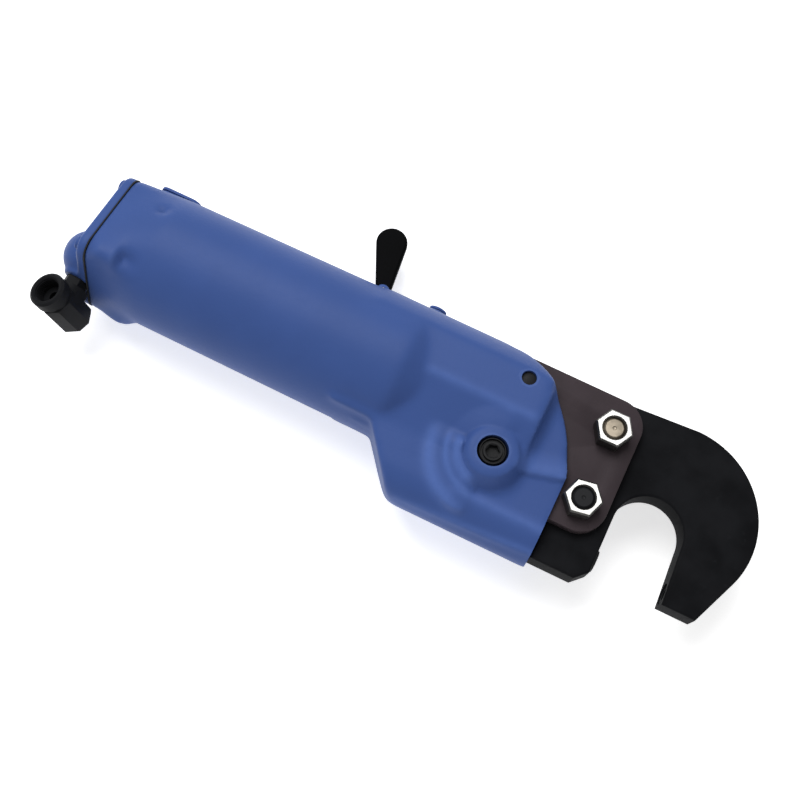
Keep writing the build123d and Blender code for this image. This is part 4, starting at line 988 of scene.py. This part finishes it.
def copies_tree():
    """Geometry Nodes: a copy of a shape on every point, turned to its axis, spun and finished."""
    tree = bpy.data.node_groups.new("like_fastenings", "GeometryNodeTree")
    for label, kind in (("Geometry", "NodeSocketGeometry"), ("Shape", "NodeSocketObject"),
                        ("Axis turn", "NodeSocketVector"), ("Spin", "NodeSocketFloat"),
                        ("Finish", "NodeSocketMaterial")):
        tree.interface.new_socket(label, in_out="INPUT", socket_type=kind)
    tree.interface.new_socket("Geometry", in_out="OUTPUT", socket_type="NodeSocketGeometry")
    add = tree.nodes.new
    link = tree.links.new
    given = add("NodeGroupInput")
    shape = add("GeometryNodeObjectInfo")
    place = add("GeometryNodeInstanceOnPoints")
    chance = add("FunctionNodeRandomValue")
    chance.data_type = "FLOAT"
    angle = add("ShaderNodeCombineXYZ")
    spin = add("GeometryNodeRotateInstances")
    real = add("GeometryNodeRealizeInstances")
    coat = add("GeometryNodeSetMaterial")
    done = add("NodeGroupOutput")
    chance.inputs["Seed"].default_value = 7
    link(given.outputs["Shape"], shape.inputs["Object"])
    link(given.outputs["Geometry"], place.inputs["Points"])
    link(shape.outputs["Geometry"], place.inputs["Instance"])
    link(given.outputs["Axis turn"], place.inputs["Rotation"])
    link(given.outputs["Spin"], chance.inputs[3])
    link(chance.outputs[1], angle.inputs["Z"])
    link(place.outputs["Instances"], spin.inputs["Instances"])
    link(angle.outputs["Vector"], spin.inputs["Rotation"])
    link(spin.outputs["Instances"], real.inputs["Geometry"])
    link(real.outputs["Geometry"], coat.inputs["Geometry"])
    link(given.outputs["Finish"], coat.inputs["Material"])
    link(coat.outputs["Geometry"], done.inputs["Geometry"])
    return tree


def like_pieces(name, shape, spots, axis_turn, spin, coat, degrees=24.0):
    """Copies of a shape at spots in mm, as one piece."""
    tree = bpy.data.node_groups.get("like_fastenings") or copies_tree()
    mesh = bpy.data.meshes.new(name)
    mesh.from_pydata([Vector(spot) * MM for spot in spots], [], [])
    piece = new_piece(name, mesh)
    model = new_piece(name + "_shape", joined(name + "_shape", shape))
    change = piece.modifiers.new("copies", "NODES")
    change.node_group = tree
    values = {"Shape": model, "Axis turn": axis_turn, "Spin": spin, "Finish": finish(coat)}
    for socket in tree.interface.items_tree:
        if socket.in_out == "INPUT" and socket.name in values:
            change[socket.identifier] = values[socket.name]
    settle(piece)
    old = model.data
    bpy.data.objects.remove(model)
    bpy.data.meshes.remove(old)
    if len(piece.data.polygons) == 0:
        raise RuntimeError(f"{name} came out empty")
    smooth_shade(piece.data, degrees)
    return piece


# Pieces

def cast_skin(name, node, forms, grain):
    """A piece whose skin is drawn over a CAD node's solid and the closed shapes that go with it."""
    solid = merged(node)
    piece = new_piece(name, joined(name, solid, *forms(solid)))
    bpy.data.meshes.remove(solid)
    skin = piece.modifiers.new("skin", "REMESH")
    skin.mode = "VOXEL"
    skin.voxel_size = grain
    settle(piece)
    return piece


def paint_casting(piece, node):
    """Marks a casting's edges, paints it blue and lets it stand for its CAD node."""
    mark_skin(piece.data)
    smooth_shade(piece.data, 38.0)
    dress(piece, "blue_paint", "housing", node)


def casting_forms(solid):
    """Closed shapes that fill the housing's rooms and holes and add its cast forms."""
    nose = [(x, min(y, NOSE_TOP_Y)) for x, y in arc_through(*NOSE_ARC, 24)[1:]]
    side = [(PLATE_FILL_X, NOSE_TOP_Y), *nose, (PAST_FACE_X, NOSE_ARC[2][1]),
            (PAST_FACE_X, PLATE_FILL_YS[0]), (PLATE_FILL_X, PLATE_FILL_YS[1])]
    pin_x, pin_y = LEVER
    ears = arc_through((pin_x - EAR_HALF, pin_y + EAR_RISE[0]), (pin_x, pin_y + EAR_RISE[1]),
                       (pin_x + EAR_HALF, pin_y + EAR_RISE[0]), 12)
    ear_side = [(pin_x - EAR_FOOT[0], EAR_FOOT[1]), *ears, (pin_x + EAR_FOOT[0], EAR_FOOT[1])]
    first, last = [[(x, 0.0, 0.0)] for x in BARREL_END_POLES]
    return (
        stretched_face(solid, REAR_X, REAR_SPARE),
        stretched_face(solid, FACE_X, FACE_SPARE),
        rod("X", (FLANGE_DROP, 0.0), *FLANGE_FILL),
        rod("X", AXIS, *BARREL_FILL),
        bar("Z", side, -PLATE_FILL_HALF, PLATE_FILL_HALF),
        room(*WEDGE_FILL),
        room(*CRANK_FILL),
        ringed([first, *[turned_ring(x, r) for x, r in BARREL_END], last]),
        bar("X", SHOULDER, *SHOULDER_X),
        ringed([[(*PIVOT, -BOSS_OUT)], *[spun_ring(PIVOT, r, z) for r, z in BOSS], [(*PIVOT, BOSS_OUT)]]),
        rod("X", (RAM_Y, 0.0), *RAM_FILL),
        rod("Z", PIVOT, *PIVOT_FILL),
        rod("Z", BACKUP, *BACKUP_FILL),
        rod("X", VALVE, *VALVE_FILL),
        bar("Z", ear_side, VALVE[1] - EAR_OUT, VALVE[1] + EAR_OUT),
        room(*PAD_FILL),
        rod("Y", OIL_PLUG, *OIL_FILL),
        *[rod("X", spot, *SCREW_FILL) for spot in flange_spots()],
    )


def casting_cuts():
    """All that is machined out of the housing casting, in order."""
    return (
        room(*REAR_TRIM),
        room(*FACE_TRIM),
        *[rod("X", AXIS, *hole) for hole in BARREL_HOLES],
        room(*WEDGE_ROOM, YOKE_HALF),
        room(*CHEEK_ROOM, PLATE_OUT),
        room(*PLATE_ROOM, PLATE_OUT),
        room(*CRANK_ROOM, YOKE_HALF),
        *[rod("X", (RAM_Y, 0.0), *hole) for hole in RAM_HOLES],
        *[rod("Z", PIVOT, *hole) for hole in PIVOT_HOLES],
        rod("Z", BACKUP, *BACKUP_HOLE),
        *[rod("X", VALVE, *hole) for hole in VALVE_HOLES],
        block((LEVER_SLOT_X[0], VALVE[0], VALVE[1] - LEVER_SLOT_HALF),
              (LEVER_SLOT_X[1], LEVER_SLOT_TOP_Y, VALVE[1] + LEVER_SLOT_HALF)),
        rod("Z", LEVER, LEVER_PIN_R, VALVE[1] - LEVER_PIN_REACH, VALVE[1] + LEVER_PIN_REACH, 32),
        room(*PAD_TRIM),
        rod("Y", (PAD_X, 0.0), *EXHAUST_HOLE),
        *[rod("Y", (x, 0.0), *PAD_SCREW_HOLE) for x in PAD_SCREWS_X],
        rod("Y", OIL_PLUG, *OIL_HOLE),
        *[rod("X", spot, *SCREW_HOLE) for spot in flange_spots()],
    )


class SQUEEZER_OT_casting(bpy.types.Operator):
    """Casts the cylinder and gear end as one flowing shape and machines its holes"""
    bl_idname = "squeezer.casting"
    bl_label = "Housing casting"

    def execute(self, context):
        sizes = context.scene.squeezer_casting
        piece = cast_skin("casting", "cylinder_body", casting_forms, sizes.grain)
        smooth(piece.data, FIRST_ROUNDS)
        smooth(piece.data, sizes.softness, CALM_SPOTS)
        model_cheeks(piece.data, sizes)
        smooth(piece.data, LAST_ROUNDS)
        model_lugs(piece.data, sizes)
        cut(piece, *casting_cuts())
        paint_casting(piece, "cylinder_body")
        return {"FINISHED"}


def cover_forms(solid):
    """Closed shapes that fill the rear cover's holes and draw out its joint face."""
    return (
        stretched_face(solid, HEAD_JOINT_X, JOINT_SPARE),
        rod("X", (FLANGE_DROP, 0.0), *COVER_FILL),
        rod("Y", SWIVEL_POST, *INLET_FILL),
        *[rod("X", spot, *COVER_SCREW_FILL) for spot in flange_spots()],
    )


def cover_cuts():
    """All that is machined out of the rear cover, in order."""
    return (
        room(*JOINT_TRIM),
        rod("Y", SWIVEL_POST, *INLET_HOLE),
        *[rod("X", spot, *COVER_SCREW_HOLE) for spot in flange_spots()],
        *[rod("X", spot, *COVER_SCREW_SINK) for spot in flange_spots()],
    )


class SQUEEZER_OT_cover(bpy.types.Operator):
    """Casts the rear cover with its domed inlet and machines its joint and holes"""
    bl_idname = "squeezer.cover"
    bl_label = "Rear cover"

    def execute(self, context):
        sizes = context.scene.squeezer_casting
        piece = cast_skin("rear_cover", "backhead", cover_forms, sizes.cover_grain)
        smooth(piece.data, sizes.cover_softness)
        cut(piece, *cover_cuts())
        paint_casting(piece, "backhead")
        return {"FINISHED"}


class SQUEEZER_OT_plates(bpy.types.Operator):
    """Breaks the edges of the two side plates"""
    bl_idname = "squeezer.plates"
    bl_label = "Side plates"

    def execute(self, context):
        width = context.scene.squeezer_edge.plate_edge
        for node in ("left_side_plate", "right_side_plate"):
            broken_edges(node, width)
        return {"FINISHED"}


class SQUEEZER_OT_yoke(bpy.types.Operator):
    """Gives the forged yoke its smooth skin"""
    bl_idname = "squeezer.yoke"
    bl_label = "Yoke"

    def execute(self, context):
        broken_edges("yoke", 0.0)
        return {"FINISHED"}


class SQUEEZER_OT_nuts(bpy.types.Operator):
    """Sets the two plated nuts on the yoke bolts"""
    bl_idname = "squeezer.nuts"
    bl_label = "Yoke nuts"

    def execute(self, context):
        sizes = context.scene.squeezer_fastening
        flats, tall, hole = sizes.nut_flats / MM, sizes.nut_height / MM, sizes.bolt_radius / MM
        corner, face = hexagon(flats), hexagon(NUT_FACE_SHARE * flats)
        nut = ringed([
            ring(hole + 0.6, 0.0), ring(face, 0.0), ring(corner, NUT_EDGE), ring(corner, tall - NUT_EDGE),
            ring(face, tall), ring(hole + 0.6, tall), ring(hole, tall - 0.7), ring(hole, 0.6),
        ], closed=True)
        spots = [(BOLT_X, y, PLATE_OUT) for y in BOLT_YS]
        turn = (0.0, 0.0, sizes.nut_turn)
        piece = like_pieces("yoke_nuts_pair", nut, spots, turn, 0.0, "zinc_steel", 20.0)
        upper = Vector((BOLT_X, max(BOLT_YS), 0.0)) * MM
        for point in piece.data.vertices:
            if point.co.y > BOLTS_MIDDLE_Y * MM:
                point.co = upper + Matrix.Rotation(UPPER_NUT_TURN, 3, "Z") @ (point.co - upper)
        dress(piece, "zinc_steel", "housing", "yoke_nuts")
        # Side faces get the darker zinc: painted shade.
        second_coat(piece, "zinc_side", lambda side: abs(side.normal.z) < 0.9)
        return {"FINISHED"}


class SQUEEZER_OT_bolts(bpy.types.Operator):
    """Sets the two yoke bolts with hexagon heads on the far side"""
    bl_idname = "squeezer.bolts"
    bl_label = "Yoke bolts"

    def execute(self, context):
        sizes = context.scene.squeezer_fastening
        radius, head = sizes.bolt_radius / MM, sizes.head_height / MM
        corner = hexagon(sizes.nut_flats / MM)
        face = HEAD_FLAT_SHARE * sizes.nut_flats / MM
        bottom = -PLATE_OUT - head
        top = PLATE_OUT + sizes.nut_height / MM

        def slope(angle):
            return bottom + HEAD_CHAMFER * (corner(angle) - face)

        bolt = ringed([
            [(0.0, 0.0, bottom + 0.25)], ring(face - 1.2, bottom + 0.25), ring(face - 0.9, bottom),
            ring(face, bottom), ring(corner, slope), ring(corner, -PLATE_OUT - 0.4),
            ring(face, -PLATE_OUT), ring(radius, -PLATE_OUT), ring(radius, top - 1.5),
            ring(radius - 0.95, top - 0.55), ring(radius - 1.05, top - 0.45), ring(0.9, top - 0.45),
            ring(0.6, top - 0.75), [(0.0, 0.0, top - 0.85)],
        ])
        spots = [(BOLT_X, y, 0.0) for y in BOLT_YS]
        pair = like_pieces("yoke_bolts_pair", bolt, spots, (0.0, 0.0, 0.35), 0.0, "bolt_steel")
        dress(pair, "bolt_steel", "housing", "yoke_bolts")
        second_coat(pair, "black_screw", lambda side: side.center.y < BOLTS_MIDDLE_Y * MM)
        return {"FINISHED"}


class SQUEEZER_OT_pivot_screw(bpy.types.Operator):
    """Turns the pivot screw with its ringed head and hexagon socket"""
    bl_idname = "squeezer.pivot_screw"
    bl_label = "Pivot screw"

    def execute(self, context):
        low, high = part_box("pivot_screw")
        end, top = low[2] / MM, high[2] / MM
        seat = top - 5.6
        socket = hexagon(5.0)
        shank = [(3.4, end), (4.0, end + 0.6), (4.0, -14.0), (4.55, -14.0), (4.75, -13.8), (4.75, seat)]
        rim = [(5.9, seat), (6.1, seat + 0.2), (6.1, top - 2.6), (5.65, top - 2.2), (5.65, top - 0.3)]
        crown = [(5.4, top), (5.15, top), (4.95, top - 1.3), (4.15, top - 1.3), (3.95, top), (3.15, top)]
        recess = [(socket, top - 0.3), (socket, top - 2.7)]
        profile = [ring(radius, height) for radius, height in shank + rim + crown + recess]
        screw = ringed([[(0.0, 0.0, end)], *profile, [(0.0, 0.0, top - 2.8)]])
        spots, turn = [(*PIVOT, 0.0)], (0.0, 0.0, 0.3)
        piece = like_pieces("pivot_screw_turned", screw, spots, turn, 0.0, "black_screw")
        dress(piece, "black_screw", "housing", "pivot_screw")
        return {"FINISHED"}


class SQUEEZER_OT_cover_screws(bpy.types.Operator):
    """Sets the four knurled socket screws in the rear cover"""
    bl_idname = "squeezer.cover_screws"
    bl_label = "Cover screws"

    def execute(self, context):
        sizes = context.scene.squeezer_fastening
        head, tall = sizes.cap_radius / MM, sizes.cap_height / MM
        socket = hexagon(2.6)

        def knurl(angle):
            return head - 0.10 * (0.5 + 0.5 * math.cos(32 * angle))

        screw = ringed([
            [(0.0, 0.0, -10.0)], ring(1.3, -10.0), ring(1.7, -9.6), ring(1.7, 0.0), ring(head - 0.1, 0.0),
            ring(knurl, 0.2), ring(knurl, tall - 0.6), ring(head - 0.15, tall - 0.35),
            ring(head - 0.5, tall), ring(1.75, tall), ring(socket, tall - 0.25), ring(socket, tall - 2.2),
            [(0.0, 0.0, tall - 2.6)],
        ])
        spots = [(HEAD_SEAT_X, y, z) for y, z in flange_spots()]
        turn = (0.0, -math.pi / 2, 0.0)
        piece = like_pieces("cover_screws", screw, spots, turn, math.tau, "screw_paint")
        dress(piece, "screw_paint", "housing", "backhead_screws")
        return {"FINISHED"}


class SQUEEZER_OT_swivel(bpy.types.Operator):
    """Mills the flats of the air swivel and threads its open end"""
    bl_idname = "squeezer.swivel"
    bl_label = "Air swivel"

    def execute(self, context):
        away = Vector((-math.sin(SWIVEL_TURN), 0.0, math.cos(SWIVEL_TURN)))
        aim = away.to_track_quat("Z", "Y").to_matrix().to_4x4()
        aim.translation = Vector(SWIVEL_AT) * MM
        wide, tip, tail = SWIVEL_R - 0.04, SWIVEL_OPEN, SWIVEL_BACK

        def turned(profile, sides=96):
            """A closed shape on the swivel's axis, from radii and heights."""
            rings = [ring(radius, height, sides) for radius, height in profile]
            shape = ringed([[(0.0, 0.0, profile[0][1])], *rings, [(0.0, 0.0, profile[-1][1])]])
            shape.transform(aim)
            return shape

        flats = turned([(wide - 1.4, tail), (wide, tail + 2.3), (wide, tip - 7.8), (wide - 0.9, tip - 6.8)],
                       sides=8)
        collar = turned([(wide - 0.8, 3.0), (wide - 0.8, tip - 6.4), (wide, tip - 5.6), (wide, tip - 1.0),
                         (wide - 1.0, tip)])
        piece = new_piece("air_swivel", joined("air_swivel", flats))
        boolean(piece, collar, "UNION")
        boolean(piece, rod("Y", SWIVEL_POST, SWIVEL_NECK_R, SWIVEL_AT[1], SWIVEL_TOP_Y), "UNION")
        # The odd counts of sides keep the holes' points off the points of the outer shapes.
        cut(
            piece,
            turned([(PASSAGE_R, 0.0), (PASSAGE_R, tip + 1.0)], sides=71),
            turned([(PORT_R, tip - 7.0), (PORT_R, tip - 0.7), (PORT_R + 1.7, tip + 1.0)], sides=89),
            rod("Y", SWIVEL_POST, POST_HOLE_R, SWIVEL_AT[1] - POST_HOLE_DEPTH, SWIVEL_TOP_Y + 1.0),
            rod("Y", SWIVEL_POST, CLIP_GROOVE_R, *[SWIVEL_TOP_Y - down for down in CLIP_GROOVE]),
        )
        weld(piece.data)
        smooth_shade(piece.data, 35.0)
        dress(piece, "swivel_black", "swivel", "swivel_body")
        thread = ringed([
            ring(THREAD_R + THREAD_HALF * math.cos(angle), THREAD_HALF * math.sin(angle), 64)
            for angle in [math.tau * step / 8 for step in range(8)]
        ], closed=True)
        spots = [Vector(SWIVEL_AT) + away * (tip - 6.3 + THREAD_PITCH * step) for step in range(THREAD_TURNS)]
        threads = like_pieces("inlet_threads", thread, spots, aim.to_euler(), 0.0, "swivel_black", 60.0)
        dress(threads, "swivel_black", "swivel")
        return {"FINISHED"}


class SQUEEZER_OT_fittings(bpy.types.Operator):
    """Gives the lever, the small fittings and every inner piece their edges and finishes"""
    bl_idname = "squeezer.fittings"
    bl_label = "Lever, fittings and inner pieces"

    def execute(self, context):
        width = context.scene.squeezer_edge.small_edge
        done = {"cylinder_body", "backhead", "left_side_plate", "right_side_plate", "yoke", "yoke_nuts",
                "yoke_bolts", "backhead_screws", "swivel_body", "pivot_screw"}
        plain = {"return_spring", "ram_spring", "throttle_spring", "divider_circlips", "rod_circlips",
                 "stem_clip", "divider_seals", "rear_piston_seal", "front_piston_seal", "valve_seal",
                 "backhead_gasket", "throttle_lever", "swivel_stem"}
        other = {"oil_plug": "screw_paint", "exhaust_cover": "screw_paint", "swivel_stem": "swivel_black",
                 "throttle_lever": "lever_black", "ram": "ram_black"}
        pressed_by = {"return_spring": "piston_slide", "ram_spring": "ram_slide",
                      "throttle_spring": "valve_slide"}
        for node in sorted(set(frame["nodes"]) - done):
            piece = broken_edges(node, 0.0 if node in plain else width, coat=other.get(node))
            if node in pressed_by:
                shorten(piece, node, pressed_by[node])
        return {"FINISHED"}


class SQUEEZER_OT_stage(bpy.types.Operator):
    """Sets the pale floor, the soft lights and the camera"""
    bl_idname = "squeezer.stage"
    bl_label = "Stage"

    def execute(self, context):
        sizes = context.scene.squeezer_stage
        level = CAD_BOX[0][2] - FLOOR_GAP
        corners = [(x * FLOOR_HALF, y * FLOOR_HALF, level) for x, y in ((-1, -1), (1, -1), (1, 1), (-1, 1))]
        sheet = bpy.data.meshes.new("floor")
        sheet.from_pydata(corners, [], [(0, 1, 2, 3)])
        floor = new_piece("floor", sheet)
        sheet.materials.append(floor_finish(sizes.floor))
        centre = Vector(STAGE_MIDDLE)
        for name, (way, far, wide), power in (
                ("key_light", KEY_LIGHT, sizes.key), ("fill_light", FILL_LIGHT, sizes.fill)):
            lamp = bpy.data.lights.new(name, "AREA")
            lamp.shape = "SQUARE"
            lamp.size = wide
            lamp.energy = power
            light = bpy.data.objects.new(name, lamp)
            towards = Vector(way).normalized()
            light.matrix_world = Matrix.Translation(centre + towards * far) @ towards.to_track_quat(
                "Z", "Y").to_matrix().to_4x4()
            context.scene.collection.objects.link(light)
        world = bpy.data.worlds.new("studio")
        world.use_nodes = True
        sky = world.node_tree.nodes["Background"]
        sky.inputs["Color"].default_value = (1.0, 1.0, 1.0, 1.0)
        sky.inputs["Strength"].default_value = SKY_STRENGTH
        context.scene.world = world
        context.scene.view_settings.view_transform = "Standard"
        lens = bpy.data.cameras.new("camera")
        lens.sensor_width = SENSOR_WIDTH
        lens.lens = sizes.lens
        camera = bpy.data.objects.new("camera", lens)
        turn = Matrix((CAMERA_RIGHT, CAMERA_UP, CAMERA_BACK)).transposed().to_4x4()
        camera.matrix_world = Matrix.Translation(CAMERA_AT) @ turn
        context.scene.collection.objects.link(camera)
        context.scene.camera = camera
        return {"FINISHED"}


class SQUEEZER_PT_panel(bpy.types.Panel):
    """Lists the pieces of the squeezer"""
    bl_idname = "SQUEEZER_PT_panel"
    bl_label = "Rivet squeezer"
    bl_space_type = "VIEW_3D"
    bl_region_type = "UI"
    bl_category = "Squeezer"

    def draw(self, context):
        for group in SETTINGS:
            box = self.layout.box()
            for name in group[1].__annotations__:
                box.prop(getattr(context.scene, group[0]), name)
        for step in STEPS:
            self.layout.operator(step.bl_idname)


SETTINGS = (
    ("squeezer_casting", CastingSettings),
    ("squeezer_edge", EdgeSettings),
    ("squeezer_fastening", FasteningSettings),
    ("squeezer_finish", FinishSettings),
    ("squeezer_stage", StageSettings),
)
STEPS = (
    SQUEEZER_OT_casting, SQUEEZER_OT_cover, SQUEEZER_OT_plates, SQUEEZER_OT_yoke, SQUEEZER_OT_nuts,
    SQUEEZER_OT_bolts, SQUEEZER_OT_pivot_screw, SQUEEZER_OT_cover_screws, SQUEEZER_OT_swivel,
    SQUEEZER_OT_fittings, SQUEEZER_OT_stage,
)


def register():
    """Registers the settings, the operators and the panel."""
    for name, group in SETTINGS:
        bpy.utils.register_class(group)
        setattr(bpy.types.Scene, name, PointerProperty(type=group))
    for step in STEPS:
        bpy.utils.register_class(step)
    bpy.utils.register_class(SQUEEZER_PT_panel)


def unregister():
    """Takes the panel, the operators and the settings away."""
    bpy.utils.unregister_class(SQUEEZER_PT_panel)
    for step in reversed(STEPS):
        bpy.utils.unregister_class(step)
    for name, group in reversed(SETTINGS):
        delattr(bpy.types.Scene, name)
        bpy.utils.unregister_class(group)


def main():
    """Builds the tool and its stage."""
    register()
    read_record()
    bpy.ops.squeezer.casting()
    bpy.ops.squeezer.cover()
    bpy.ops.squeezer.plates()
    bpy.ops.squeezer.yoke()
    bpy.ops.squeezer.nuts()
    bpy.ops.squeezer.bolts()
    bpy.ops.squeezer.pivot_screw()
    bpy.ops.squeezer.cover_screws()
    bpy.ops.squeezer.swivel()
    bpy.ops.squeezer.fittings()
    bpy.ops.squeezer.stage()


if __name__ == "__main__":
    main()
